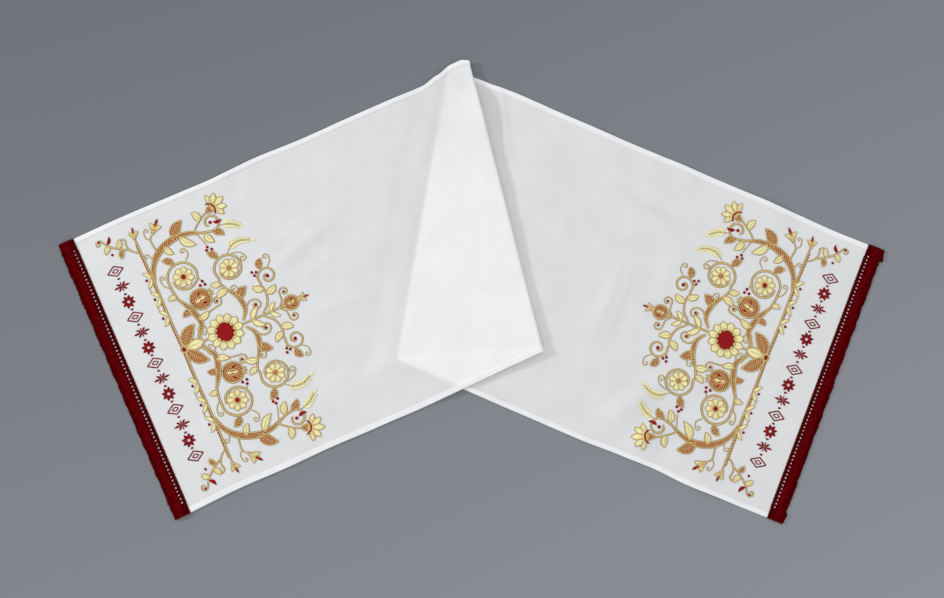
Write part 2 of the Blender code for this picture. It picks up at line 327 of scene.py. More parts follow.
# Floor, lights and camera
FLOOR_SIZE = 9.0
FLOOR_HEIGHT = -0.2 * MM
# The floor's grey in its painted shade and in its painted light
FLOOR_PAINTED_SHADE = (0.133, 0.139, 0.156, 1)
FLOOR_PAINTED_LIGHT = (0.254, 0.265, 0.294, 1)
FLOOR_SLANT = 0.55
FLOOR_CHANGE = (0.70, -0.75)    # y less slant times x, in m, where the painted light falloff is darkest and lightest
KEY_PLACE = (-3.60, 0.80, 1.28)
KEY_SIZE = 0.36
KEY_POWER = 86
KEY_COLOUR = (1.0, 0.985, 0.965)
OVERHEAD_PLACE = (1.0, 0.1, 2.4)
OVERHEAD_SIZE = 1.6
OVERHEAD_POWER = 12
SURROUND_COLOUR = (0.985, 0.99, 1.0, 1)
SURROUND_STRENGTH = 0.785
CAMERA_AIM = (-0.0053, -0.0117, 0.0)
CAMERA_DISTANCE = 1.63651
CAMERA_TURN = (0.11097, -0.03454, 0.0)
LENS = 50
SENSOR_WIDTH = 36

TOWEL = bpy.data.collections.new("ritual_towel")
bpy.context.scene.collection.children.link(TOWEL)


def smooth_step(low, high, value):
    """From 0 at low to 1 at high, level at both ends."""
    part = np.clip((value - low) / (high - low), 0.0, 1.0)
    return part * part * (3 - 2 * part)


def read_table(rows, value, column):
    """A column of a table at values of its first column, smooth between its rows."""
    table = np.array(rows)
    after = np.clip(np.searchsorted(table[:, 0], value), 1, len(rows) - 1)
    before = after - 1
    part = smooth_step(table[before, 0], table[after, 0], value)
    return table[before, column] + part * (table[after, column] - table[before, column])


class Fold:
    """A fold line: where its outer edge crosses y = 0, its lean, side and radius."""

    def __init__(self, crossing, lean, side, radius, reach):
        """Finds the fold's axis, which lies a reach inside its outer edge."""
        angle = math.radians(lean)
        self.down = np.array([math.sin(angle), -math.cos(angle)])
        self.out = side * np.array([math.cos(angle), math.sin(angle)])
        self.axis = np.array([crossing, 0.0]) - reach * self.out
        self.radius = radius
        self.turn = math.pi * radius

    def past(self, plan):
        """How far points of the plan lie past the fold's axis."""
        return (plan - self.axis) @ self.out

    def along(self, plan):
        """How far down the fold points of the plan lie."""
        return (plan - self.axis) @ self.down

    def at(self, along, out):
        """Points of the plan at distances down the fold and out from its axis."""
        return self.axis + np.multiply.outer(along, self.down) + np.multiply.outer(out, self.out)

    def reflect(self, plan):
        """Where points of the strip land once it has turned at this fold."""
        return self.at(self.along(plan), self.turn - self.past(plan))


CRISP = Fold(crossing=0.0642, lean=14.02, side=1, radius=CRISP_RADIUS, reach=CRISP_REACH)
SOFT = Fold(crossing=-0.0835, lean=-9.76, side=-1, radius=SOFT_RADIUS, reach=SOFT_RADIUS)


def on_left_arm(s, t):
    """The plan of places on the strip before any fold."""
    return LEFT_CORNER + np.multiply.outer(s, LEFT_ALONG) + np.multiply.outer(t, LEFT_ACROSS)


def on_right_arm(s, t):
    """The plan of places on the strip past both folds."""
    return SOFT.reflect(CRISP.reflect(on_left_arm(s, t)))


def with_wander(s, t):
    """t with the wander of the hems, shared out between them across the strip."""
    upper = read_table(HEM_WANDER, s, 1) * MM
    lower = read_table(HEM_WANDER, s, 2) * MM
    return t - upper * (1 - t / WIDTH) + lower * t / WIDTH


def where(distance_past, t, target):
    """The s at which a straight measure of the plan reaches a target on the rows t."""
    s = np.full_like(t, LENGTH / 2)
    for _ in range(WANDER_ROUNDS):
        row = with_wander(s, t)
        start = distance_past(on_left_arm(0 * s, row))
        rate = distance_past(on_left_arm(0 * s + 1, row)) - start
        s = (target - start) / rate
    return s


def past_soft_fold_below(plan):
    """How far the strip has run past the soft fold, once past the crisp one."""
    return SOFT.past(CRISP.reflect(plan))


def skew(ends, t):
    """How far a cut end stands past square on the rows t."""
    return ends[0] + (ends[1] - ends[0]) * t / WIDTH


def left_end(t):
    """The s of the left band's inner edge on the rows t."""
    return -skew(LEFT_END_SKEW, t)


def right_end(t):
    """The s of the right band's inner edge on the rows t."""
    return LENGTH + skew(RIGHT_END_SKEW, t)


def right_of(start, end):
    """The direction square to a line of the plan, to its right."""
    along = (end - start) / np.linalg.norm(end - start)
    return np.array([along[1], -along[0]])


# The crisp fold's two ends, and the hems of the two layers below the top one
ROW_ENDS = np.array([0.0, WIDTH])
CRISP_TOP, CRISP_BOTTOM = CRISP.along(on_left_arm(where(CRISP.past, ROW_ENDS, 0.0), ROW_ENDS))
MIDDLE_HEM_RIGHT = CRISP.at(CRISP_BOTTOM, 0.0)
MIDDLE_HEM_LEFT = CRISP.reflect(
    on_left_arm(where(past_soft_fold_below, ROW_ENDS, 0.0), ROW_ENDS))[1]
MIDDLE_HEM_OUT = right_of(MIDDLE_HEM_LEFT, MIDDLE_HEM_RIGHT)
RIGHT_HEM_OUT = right_of(on_right_arm(LENGTH / 2, WIDTH), on_right_arm(LENGTH, WIDTH))


def crisp_height(along):
    """Height of the strip's lower face where the crisp fold starts."""
    part = (along - CRISP_TOP) / (CRISP_BOTTOM - CRISP_TOP)
    return read_table(CRISP_LIFT, part, 1) * MM


def rise(plan):
    """0 at the soft fold, 1 at the crisp fold."""
    from_soft = np.maximum(-SOFT.past(plan), 0.0)
    from_crisp = np.maximum(-CRISP.past(plan), 0.0)
    return (from_soft / (from_soft + from_crisp + TINY)) ** LIFT_POWER


def middle_height(plan):
    """Height of the middle layer's upper face, the strip's turned-over lower face."""
    at_crisp = crisp_height(CRISP.along(plan)) - 2 * CRISP.radius
    return MIDDLE_FACE + rise(plan) * (at_crisp - MIDDLE_FACE)


def top_height(plan):
    """Height of the left arm's lower face, over the pleat and down to the surface."""
    sag = smooth_step(SAG_START, SAG_END, (plan - MIDDLE_HEM_LEFT) @ MIDDLE_HEM_OUT)
    base = TOP_FACE + sag * (TOP_FACE_ON_TWO - TOP_FACE)
    over_pleat = base + rise(plan) * (crisp_height(CRISP.along(plan)) - base)
    outside = np.maximum(SOFT.past(plan), (plan - MIDDLE_HEM_LEFT) @ RIGHT_HEM_OUT)
    return over_pleat * (1 - smooth_step(SETTLE_START, SETTLE_END, outside))


def along_and_aside(plan, x, y, degrees):
    """How far points of the plan lie from a place, along a direction and to its left."""
    angle = math.radians(degrees)
    offset = plan - np.array([x, y])
    along = offset @ np.array([math.cos(angle), math.sin(angle)])
    aside = offset @ np.array([-math.sin(angle), math.cos(angle)])
    return along, aside


def wave_height(plan):
    """Height that the soft waves add at points of the plan."""
    total = np.zeros(plan.shape[:-1])
    for x, y, direction, length, half_width, height in WAVES:
        along, aside = along_and_aside(plan, x, y, direction)
        end_part = np.cos(math.pi * np.minimum(np.abs(along) / (length * MM), 0.5)) ** 2
        side_part = np.cos(math.pi / 2 * np.minimum(np.abs(aside) / (half_width * MM), 1.0)) ** 2
        total += height * MM * end_part * side_part
    return total


def relief_height(plan):
    """Height of creases, lifted hems and ripples at points of the plan, for every layer."""
    total = np.zeros(plan.shape[:-1])
    for rows, fade in ((CREASES, CREASE_FADE), (HEM_LIFTS, HEM_LIFT_FADE)):
        for x, y, direction, length, half_width, height, bend in rows:
            along, aside = along_and_aside(plan, x, y, direction)
            along = along / (length * MM / 2)
            from_ridge = (aside - bend * MM * (1 - along ** 2)) / (half_width * MM)
            part = 1 - smooth_step(*fade, np.abs(along))
            total += height * MM * part * np.exp(-from_ridge ** 2)
    # Each ripple's crests bend, and its height comes and goes along them
    for number, (length, direction, height) in enumerate(RIPPLES):
        along, aside = along_and_aside(plan / (length * MM), 0.0, 0.0, direction)
        bent = 1.3 * np.sin(2.1 * aside + number)
        swing = np.sin(2 * math.pi * along + bent + RIPPLE_TURN * number)
        total += height * MM * (0.5 + 0.5 * swing) * (0.6 + 0.4 * np.sin(1.7 * aside + number))
    return total


def lay_out(s, t):
    """Points of the strip's lower face at places on it."""
    flat = on_left_arm(s, with_wander(s, t))
    middle = CRISP.reflect(flat)
    right = SOFT.reflect(middle)
    past_crisp = CRISP.past(flat)
    past_soft = SOFT.past(middle)
    crisp_angle = np.clip(past_crisp / CRISP.radius, 0.0, math.pi)
    soft_angle = np.clip(past_soft / SOFT.radius, 0.0, math.pi)
    in_crisp = CRISP.at(CRISP.along(flat), CRISP.radius * np.sin(crisp_angle))
    in_soft = SOFT.at(SOFT.along(middle), SOFT.radius * np.sin(soft_angle))
    crisp_drop = CRISP.radius * (1 - np.cos(crisp_angle))
    zones = [past_crisp <= 0, past_crisp < CRISP.turn, past_soft <= 0, past_soft < SOFT.turn]
    plan = np.select([zone[..., None] for zone in zones], [flat, in_crisp, middle, in_soft], right)
    height = np.select(
        zones,
        [
            top_height(flat) + wave_height(flat),
            crisp_height(CRISP.along(flat)) - crisp_drop,
            middle_height(middle),
            SOFT.radius * (1 + np.cos(soft_angle)),
        ],
        wave_height(right),
    )
    ease = smooth_step(0.0, END_EASE, s) * smooth_step(0.0, END_EASE, LENGTH - s)
    height = np.maximum(height + ease * relief_height(plan), 0.0)
    return np.concatenate([plan, height[..., None]], axis=-1)


def place(s, t, above):
    """Points at a height above the strip's lower face, square to it."""
    step = 0.1 * MM
    s, t, above = np.broadcast_arrays(s, t, above)
    along = lay_out(s + step, t) - lay_out(s - step, t)
    across = lay_out(s, t + step) - lay_out(s, t - step)
    normal = np.cross(across, along)
    normal /= np.linalg.norm(normal, axis=-1, keepdims=True)
    return lay_out(s, t) + above[..., None] * normal


def from_edge(t):
    """How far the rows t lie from the nearer long edge."""
    return np.minimum(t, WIDTH - t)


def past_hem(t):
    """0 on the hems, 1 on the single cloth between them."""
    return smooth_step(HEM_WIDTH, HEM_WIDTH + HEM_STEP, from_edge(t))


def pucker(s, t):
    """Part by which a hem's own seam draws it in, from 0 to 1 along it."""
    phase = np.where(t < WIDTH / 2, 0.0, 2.0)
    total = 0.5
    for pitch, part, swing, swing_length in PUCKERS:
        ahead = swing * np.sin(s / (swing_length * MM))
        total = total + part * np.sin(2 * math.pi * s / (pitch * MM) + ahead + phase)
    return total


def cloth_top(s, t):
    """Thickness of the cloth: turned hems at both sides, drawn in along their seams."""
    fullness = np.sin(math.pi * np.clip(from_edge(t) / HEM_WIDTH, 0.0, 1.0)) ** 0.5
    hem = HEM_THICKNESS - PUCKER_DEPTH * pucker(s, t) * (1 - 0.5 * fullness)
    return hem + past_hem(t) * (CLOTH_THICKNESS - hem)


def edge_part(t):
    """How full the rounded edge is, from 0 at the very edge."""
    inward = np.clip(1 - from_edge(t) / EDGE_ROUND, 0.0, 1.0)
    return np.sqrt(1 - inward ** 2)


def make_piece(name, points, faces, material, thread=None, **shades):
    """A piece from its points and faces, with its thread map and shades given point by point."""
    mesh = bpy.data.meshes.new(name)
    mesh.from_pydata(points.tolist(), [], faces)
    if thread is not None:
        corners = np.empty(len(mesh.loops), dtype=np.int32)
        mesh.loops.foreach_get("vertex_index", corners)
        layer = mesh.uv_layers.new(name="thread")
        layer.uv.foreach_set("vector", thread[corners].astype(np.float32).ravel())
    for label, values in shades.items():
        attribute = mesh.attributes.new(label, "FLOAT", "POINT")
        attribute.data.foreach_set("value", values.astype(np.float32))
    mesh.materials.append(material)
    mesh.shade_smooth()
    mesh.set_sharp_from_angle(angle=SHARP_ANGLE)
    piece = bpy.data.objects.new(name, mesh)
    TOWEL.objects.link(piece)
    return piece


def grid_faces(columns, rows):
    """Quads of a grid whose points run row by row."""
    corner = (np.arange(rows - 1)[:, None] * columns + np.arange(columns - 1)).ravel()
    return np.stack([corner, corner + columns, corner + columns + 1, corner + 1], axis=1)


def closed_faces(faces, count):
    """The faces of a closed sheet: the upper ones, the lower ones and a rim between."""
    starts = faces.ravel()
    ends = np.roll(faces, -1, axis=1).ravel()
    alone = np.isin(starts * count + ends, ends * count + starts, invert=True)
    starts, ends = starts[alone], ends[alone]
    rim = np.stack([ends, starts, starts + count, ends + count], axis=1)
    return np.concatenate([faces, faces[:, ::-1] + count, rim]).tolist()


def spread(start, end, steps):
    """Steps of equal length that leave out the start."""
    return [start + (end - start) * step / steps for step in range(1, steps + 1)]


def cloth_rows():
    """The rows of the cloth's grid, close together at the hems."""
    edge = [row * MM for row in HEM_ROWS]
    far_edge = [WIDTH - row for row in reversed(edge)]
    return np.array(edge + spread(edge[-1], far_edge[0], STEPS_ACROSS)[:-1] + far_edge)


def cloth_columns(t):
    """The lengths along the strip where grid lines cross the rows t, row by row."""
    marks = (
        left_end(t) - TURNED_UNDER_BAND,
        where(SOFT.past, t, SETTLE_END),
        where(SOFT.past, t, SETTLE_START),
        where(CRISP.past, t, 0.0),
        where(CRISP.past, t, CRISP.turn),
        where(past_soft_fold_below, t, 0.0),
        where(past_soft_fold_below, t, SOFT.turn),
        right_end(t) + TURNED_UNDER_BAND,
    )
    columns = [marks[0]]
    for start, end, steps in zip(marks, marks[1:], STEPS_ALONG.values()):
        columns += spread(start, end, steps)
    return np.stack(columns, axis=1)


def make_cloth():
    """The folded strip, a thin closed sheet that is thicker at its hems."""
    rows = cloth_rows()
    s = cloth_columns(rows)
    t = np.broadcast_to(rows[:, None], s.shape)
    half = cloth_top(s, t) / 2
    upper = place(s, t, half + half * edge_part(t))
    lower = place(s, t, half - half * edge_part(t))
    points = np.concatenate([upper.reshape(-1, 3), lower.reshape(-1, 3)])
    faces = closed_faces(grid_faces(s.shape[1], len(rows)), s.size)
    thread = np.stack([s.ravel(), t.ravel()], axis=1)
    hem = 1 - past_hem(t).ravel()
    return make_piece("cloth_sheet", points, faces, cloth_material(),
                      thread=np.tile(thread, (2, 1)), hem=np.tile(hem, 2))


def box_faces(count):
    """Faces of boxes whose eight points follow each other, the lower four first."""
    sides = [(i, (i + 1) % 4, (i + 1) % 4 + 4, i + 4) for i in range(4)]
    box = np.array([(0, 3, 2, 1), (4, 5, 6, 7)] + sides)
    return (np.arange(count)[:, None, None] * 8 + box).reshape(-1, 4).tolist()


def make_stitches():
    """The rows of machine stitches that hold the hems down."""
    s = np.arange(STITCH_START, LENGTH - STITCH_START, STITCH_PITCH)
    corners = []
    for row, side in ((STITCH_ROW, 1), (WIDTH - STITCH_ROW, -1)):
        middle = row + side * STITCH_STRAY * np.sin(s / STITCH_STRAY_LENGTH)
        for above, half_width in ((-STITCH_ROOT, STITCH_WIDTH / 2), (STITCH_RISE, STITCH_WIDTH / 4)):
            for along, aside in ((-0.5, -1), (-0.5, 1), (0.5, 1), (0.5, -1)):
                corner_s = s + along * STITCH_LENGTH
                corner_t = middle + aside * half_width
                height = cloth_top(corner_s, corner_t) + above
                corners.append(place(corner_s, corner_t, height))
    points = np.array(corners).reshape(2, 8, len(s), 3).transpose(0, 2, 1, 3).reshape(-1, 3)
    return make_piece("hem_stitches", points, box_faces(2 * len(s)), stitch_material())


Stroke = namedtuple("Stroke", "colour left right height")


def part_way(value, low, high, first, second):
    """Between two points, by where a value lies from low to high."""
    return ((high - value) * first + (value - low) * second) / (high - low)


def smooth_run(points, spacing):
    """A smooth run through a few points (centripetal Catmull-Rom), evenly spaced."""
    points = np.array(points, float)
    padded = np.vstack([2 * points[0] - points[1], points, 2 * points[-1] - points[-2]])
    run = []
    for four in zip(padded, padded[1:], padded[2:], padded[3:]):
        steps = [math.sqrt(np.linalg.norm(after - before)) for before, after in zip(four, four[1:])]
        at = np.concatenate([[0.0], np.cumsum(steps)])
        for value in np.linspace(at[1], at[2], RUN_STEPS + 1)[:-1]:
            sides = [part_way(value, at[i], at[i + 1], four[i], four[i + 1]) for i in range(3)]
            bends = [part_way(value, at[i], at[i + 2], sides[i], sides[i + 1]) for i in range(2)]
            run.append(part_way(value, at[1], at[2], *bends))
    run = np.array(run + [points[-1]])
    along = distances(run)
    count = max(int(along[-1] / spacing), 4) + 1
    even = np.linspace(0, along[-1], count)
    return np.stack([np.interp(even, along, run[:, axis]) for axis in (0, 1)], axis=1)


def distances(run):
    """How far along a run each of its points lies."""
    return np.concatenate([[0], np.cumsum(np.linalg.norm(np.diff(run, axis=0), axis=1))])


def left_of(run):
    """Directions square to a run, to its left."""
    ahead = np.gradient(run, axis=0)
    ahead /= np.maximum(np.linalg.norm(ahead, axis=1, keepdims=True), TINY)
    return np.stack([-ahead[:, 1], ahead[:, 0]], axis=1)


def polar(centre, radius, degrees):
    """A point at a distance and direction from a centre."""
    angle = math.radians(degrees)
    return (centre[0] + radius * math.cos(angle), centre[1] + radius * math.sin(angle))


def spoke(centre, way, near, far):
    """Two points in one direction from a centre."""
    return [polar(centre, near, way), polar(centre, far, way)]


def curl(centre, radius, start, turns, shrink=0.2):
    """Points of a spiral that winds in from its radius; turns to the left are positive."""
    total = int(abs(turns) * CURL_STEPS)
    points = []
    for step in range(total + 1):
        part = step / total
        points.append(polar(centre, radius * (1 - (1 - shrink) * part), start + 360 * turns * part))
    return points


class Needlework:
    """The strokes of one end's embroidery, in mm, in the order in which they are sewn."""

    def __init__(self):
        """Starts with no strokes."""
        self.strokes = []

    def sew(self, colour, left, right, height):
        """Adds a stroke between its left and its right side."""
        self.strokes.append(Stroke(colour, left, right, height))

    def cord(self, colour, points, width, ends=(0.4, 0.4), height=0.5, taper=6.0, swell=0.0):
        """A line of satin stitch that narrows at its ends and may swell in the middle."""
        run = smooth_run(points, 0.9 + 0.25 * width)
        along = distances(run)
        fullness = 1 + swell * np.sin(math.pi * along / along[-1]) ** 2
        widths = width * LINE_WIDTHS.get(colour, 1.0) * fullness
        for end, far in zip(ends, (along, along[-1] - along)):
            widths = widths * (end + (1 - end) * np.clip(far / taper, 0, 1) ** 0.6)
        half = left_of(run) * widths[:, None] / 2
        self.sew(colour, run + half, run - half, height)
        return run

    def ribbon(self, points, width, swell):
        """A hatched band that swells in the middle, with a gold line along each side."""
        first = len(self.strokes)
        self.cord("copper", points, width, ends=(0.35, 0.35), height=0.45, taper=14, swell=swell)
        band = self.strokes[first]
        for side in (band.left, band.right):
            self.cord("gold", side[::2], 1.5, ends=(0.8, 0.8), height=0.7, taper=3)

    def blade(self, colour, base, tip, width, bend=0.0, fullness=0.45, height=0.6,
              pieces=14, blunt=0.04):
        """A leaf or petal; bend curves it to the left by that part of its length."""
        base, tip = np.array(base, float), np.array(tip, float)
        length = np.linalg.norm(tip - base)
        ahead = (tip - base) / length
        aside = np.array([-ahead[1], ahead[0]])
        u = np.linspace(0, 1, pieces + 1)
        spine = base + np.outer(u * length, ahead) + np.outer(4 * bend * length * u * (1 - u), aside)
        growing = np.sin(math.pi / 2 * np.clip(u / fullness, 0, 1)) ** 0.75
        closing = np.cos(math.pi / 2 * np.clip((u - fullness) / (1 - fullness), 0, 1)) ** 0.85
        half = width / 2 * np.maximum(np.where(u < fullness, growing, closing), blunt)
        outward = left_of(spine)
        side = outward * half[:, None]
        self.sew(colour, spine + side, spine - side, height)
        return spine, outward, half

    def leaf(self, fill, base, tip, width, bend=0.0, fullness=0.45, edge=1.3, vein=True):
        """A blade with a gold line sewn round it and a vein."""
        spine, outward, half = self.blade(fill, base, tip, width, bend, fullness)
        inset = outward * (half - 0.15)[:, None]
        loop = np.vstack([[spine[0]], (spine + inset)[1:-1:2], [spine[-1]],
                          (spine - inset)[-2:0:-2], [spine[0]]])
        self.cord("gold", loop, edge, ends=(0.7, 0.7), height=0.75, taper=2)
        if vein:
            self.cord("gold", spine[1:-3:2], edge * 0.65, height=0.8, taper=4)

    def disc(self, colour, centre, radius, height=0.8, pieces=12):
        """A round spot."""
        angles = np.linspace(-math.pi / 2, math.pi / 2, pieces + 1)
        x = centre[0] + radius * np.sin(angles)
        half = radius * np.maximum(np.cos(angles), 0.06)
        left, right = (np.stack([x, centre[1] + side * half], axis=1) for side in (1, -1))
        self.sew(colour, left, right, height)

    def ring(self, colour, centre, radius, width, height=0.7):
        """A closed round line."""
        points = [polar(centre, radius, 360 * step / 16) for step in range(17)]
        self.cord(colour, points, width, ends=(0.9, 0.9), height=height, taper=1)

    def berries(self, spots, radius):
        """Small round spots."""
        for spot in spots:
            self.disc("red", spot, radius, height=1.0, pieces=8)

    def rosette(self, centre, inner, outer, petals, heart="red", turned=90, accents=True):
        """Outlined petals round a heart."""
        width = 2 * math.pi * outer / petals * 0.80
        for petal in range(petals):
            way = turned + 360 * petal / petals
            self.leaf("lemon", *spoke(centre, way, inner * 0.8, outer), width,
                      fullness=0.62, edge=1.15, vein=False)
            if accents:
                self.cord("copper", spoke(centre, way, inner * 1.05, (inner + outer) / 2), 0.9,
                          height=0.8, taper=3)
        self.ring("gold", centre, inner, 1.6, height=1.0)
        self.disc(heart, centre, inner * 0.93, height=1.2, pieces=16)

    def tulip(self, base, way, size):
        """Three petals on a calyx with a red tip, opening towards a direction."""
        for swing, bend in ((-34, 0.16), (34, -0.16)):
            self.leaf("lemon", base, polar(base, size * 0.92, way + swing), size * 0.36,
                      bend, 0.5, vein=False)
        self.leaf("copper", base, polar(base, size * 1.05, way), size * 0.40, 0, 0.5, vein=False)
        self.blade("red", *spoke(base, way, size * 0.62, size * 1.32), size * 0.26, 0, 0.45, 0.9)
        self.blade("gold", *spoke(base, way, -size * 0.14, size * 0.30), size * 0.34, 0, 0.5, 0.8)

    def carnation(self, base, way, size):
        """A fan of petals over a red band and a hatched calyx."""
        for swing, length, width in CARNATION_PETALS:
            self.leaf("lemon", polar(base, size * 0.18, way), polar(base, size * length, way + swing),
                      size * width, -0.0016 * swing, 0.66, 1.2, vein=False)
        for swing in (-43, -15, 15, 43):
            self.cord("copper", spoke(base, way + swing, size * 0.34, size * 0.66), 1.0,
                      height=0.85, taper=4)
        self.leaf("copper", *spoke(base, way, -size * 0.16, size * 0.40), size * 0.34,
                  0, 0.6, 1.3, vein=False)
        arc = [polar(base, size * 0.36, way + swing) for swing in range(70, -71, -28)]
        self.cord("red", arc, 2.4, height=1.1, taper=4)

    def pomegranate(self, centre, radius, way):
        """A round fruit with a hatched body and a crown of three tips."""
        crown = polar(centre, radius * 0.85, way)
        for swing in (-38, 0, 38):
            self.blade("gold", crown, polar(crown, radius * 0.62, way + swing), radius * 0.26,
                       0, 0.4, 0.7)
        self.disc("copper", centre, radius * 0.95, height=0.6, pieces=16)
        self.ring("gold", centre, radius, 1.8, height=0.85)
        self.leaf("lemon", *spoke(centre, way, -radius * 0.58, radius * 0.52), radius * 0.60,
                  0, 0.55, 1.0, vein=False)
        for side in (-1, 1):
            base = polar(centre, radius * 0.34, way + 100 * side)
            tip = polar(centre, radius * 0.72, way + 55 * side)
            self.blade("red", base, tip, radius * 0.22, 0.12 * side, 0.5, 0.95)

    def ear(self, points, grain, count):
        """Grains in pairs along a stem, smaller towards the tip."""
        run = self.cord("gold", points, 1.1)
        aside = left_of(run)
        ahead = np.stack([aside[:, 1], -aside[:, 0]], axis=1)
        for number in range(count):
            k = int((0.22 + 0.74 * number / count) * (len(run) - 1))
            size = grain * (1 - 0.35 * number / count)
            for side in (-1, 1):
                start = run[k] + aside[k] * side * 0.4
                tip = start + ahead[k] * size * 0.85 + aside[k] * side * size * 0.55
                self.blade("lemon", start, tip, size * 0.42, 0.08 * side, 0.5, 0.7, pieces=8)
        tip = run[-2] + ahead[-2] * grain * 0.9
        self.blade("lemon", run[-2], tip, grain * 0.38, 0, 0.5, 0.7, pieces=8)

    def tendril(self, points, width=1.2):
        """A thin gold line."""
        self.cord("gold", points, width, ends=(0.7, 0.6), height=0.45, taper=3)

    def mirrored(self, draw):
        """Sews what a function draws, once as it is and once turned round the middle."""
        first = len(self.strokes)
        draw(self)
        flip = np.array([-1.0, 1.0])
        for stroke in self.strokes[first:]:
            self.sew(stroke.colour, stroke.right * flip, stroke.left * flip, stroke.height)


def draw_base(work):
    """Half of the base line with its knots, hanging leaves and corner sprig."""
    work.cord("gold", [(0, 70.6), (40, 69.9), (90, 70.4), (151, 69.4)], 2.0, ends=(1, 0.8))
    work.cord("copper", [(2, 68.4), (40, 67.7), (90, 68.2), (146, 67.5)], 1.5, ends=(1, 0.5))
    work.cord("gold", [(133, 69), (139, 61), (148, 56.5), (156, 58)]
              + curl((154.5, 52.6), 5.2, 72, -0.9), 1.7)
    work.tulip((152, 69), 10, 12)
    for a in (46, 72, 98):
        for side in (1, -1):
            work.leaf("lemon", (a, 68.5), (a + 10 * side, 60.5), 4.6, 0.12 * side, edge=0.9, vein=False)
        work.berries([(a, 62.4)], 1.8)
    for a in (59, 85):
        work.tendril([(a - 4.5, 68.5), (a - 5, 64), (a, 61.6), (a + 5, 64), (a + 4.5, 68.5)], 1.0)
    # Corner sprig
    work.cord("gold", [(141, 60), (150, 45), (158, 36), (166, 31)]
              + curl((164.5, 26.5), 4.8, 70, -1.0), 1.9)
    work.leaf("lemon", (150, 45), (160, 51), 6.4, 0.14)
    work.leaf("lemon", (156, 38), (149, 30), 6.4, 0.16)
    work.leaf("copper", (146, 51), (136, 46), 6.0, 0.14, vein=False)
    work.blade("red", (160, 35), (169, 41), 4.6, 0.16, 0.45, 0.9)
    work.berries([(167, 27.5), (145.5, 36.5)], 1.7)


def draw_low_branch(work):
    """Half of the low scrolls, each round a pale rosette, with a pomegranate between."""
    work.cord("gold", [(58, 88.5), (74, 86)] + curl((84, 105.5), 20.5, -108, 1.05, 0.70),
              2.4, ends=(0.9, 0.4))
    work.ribbon([(7, 92), (20, 102.5), (40, 99), (62, 87.5)], 2.6, 1.2)
    work.rosette((84, 105.5), 3.6, 13.0, 8, turned=68)
    work.pomegranate((50, 114), 13, 76)
    work.tendril([(44, 97.5), (47, 100), (48.5, 102)], 1.6)
    work.leaf("lemon", (28, 102), (33, 116.5), 8.0, 0.15)
    work.leaf("lemon", (63, 87.5), (64, 77), 6.6, 0.14)
    work.leaf("copper", (40, 99), (37, 86), 8.0, 0.14)
    work.leaf("copper", (103.5, 100), (113, 89), 8.4, 0.14)
    work.tendril([(76, 85.7), (83, 79), (91, 77.5)] + curl((92, 81), 3.6, -105, 1.1))
    work.tendril([(102, 116), (109, 122), (115, 121)] + curl((114.5, 117), 4.0, 85, -1.1))
    work.tendril([(20, 102.5), (14, 106), (9, 104)] + curl((9.8, 100.6), 3.4, 105, 1.0))
    work.berries([(70, 124.5), (66, 120), (65, 126)], 1.9)
    work.tendril([(78, 122), (74, 122.5), (71, 123)], 1.0)


def draw_middle_branch(work):
    """Half of the scrolls beside the rosette."""
    work.cord("gold", [(48, 148), (60, 143)] + curl((72, 161), 19.0, -118, 1.08, 0.66),
              2.4, ends=(0.9, 0.4))
    work.ribbon([(4, 151), (16, 159), (34, 157), (51, 146)], 2.4, 1.0)
    work.rosette((72, 161), 3.4, 12.2, 8, heart="copper", accents=False)
    work.berries([(72, 161)], 1.6)
    work.leaf("copper", (30, 157.5), (42, 171), 11, -0.14)
    work.leaf("lemon", (47, 148.5), (42, 133.5), 8.6, 0.14)
    work.leaf("lemon", (58, 144), (62, 132), 7.2, -0.12)
    work.leaf("copper", (89, 152), (100, 143), 8.4, 0.14)
    work.cord("gold", [(16, 159), (23, 168), (22, 176)] + curl((15.5, 173.5), 6.6, 22, 1.2), 1.7)
    work.berries([(15.5, 173)], 1.7)
    work.ear([(90, 166), (97, 176), (98, 188), (93, 200)], 8.0, 7)
    work.tendril([(88, 171), (84, 182), (76, 186)] + curl((77, 181.5), 4.4, 105, 1.1))
    work.tendril([(34, 157), (40, 160.5), (47, 160)] + curl((46.3, 156), 4.0, 82, -1.0))
    work.cord("gold", [(22.5, 104.5), (31, 118), (33.5, 131)] + curl((40, 131), 6.6, 180, -1.25), 1.7)
    work.berries([(40, 131)], 1.6)


def draw_top_branch(work):
    """Half of the two pairs of branches below the crown."""
    work.cord("gold", [(2, 177), (12, 187), (26, 190.5), (36, 188.5)]
              + curl((43, 200.5), 13.0, -118, 1.35, 0.22), 2.1, ends=(0.6, 0.5))
    work.leaf("lemon", (24, 190.5), (29, 204.5), 8.6, 0.14)
    work.leaf("lemon", (30, 190), (38, 178), 8.0, -0.12)
    work.leaf("copper", (55, 196), (67, 201), 8.6, -0.14)
    work.berries([(43, 200.5)], 2.3)
    work.cord("gold", [(0, 197), (7, 204), (14, 205)] + curl((16.5, 211), 6.4, -112, 1.25), 1.6)
    work.berries([(16.5, 211)], 1.5)
    work.tendril([(54, 205), (60, 211), (67, 211)] + curl((66.3, 207.2), 3.8, 80, -1.0))
    work.berries([(50, 186), (55, 184.5), (53, 189.5)], 1.8)
    work.tendril([(43, 187.6), (47, 187.2), (50, 187)], 1.0)


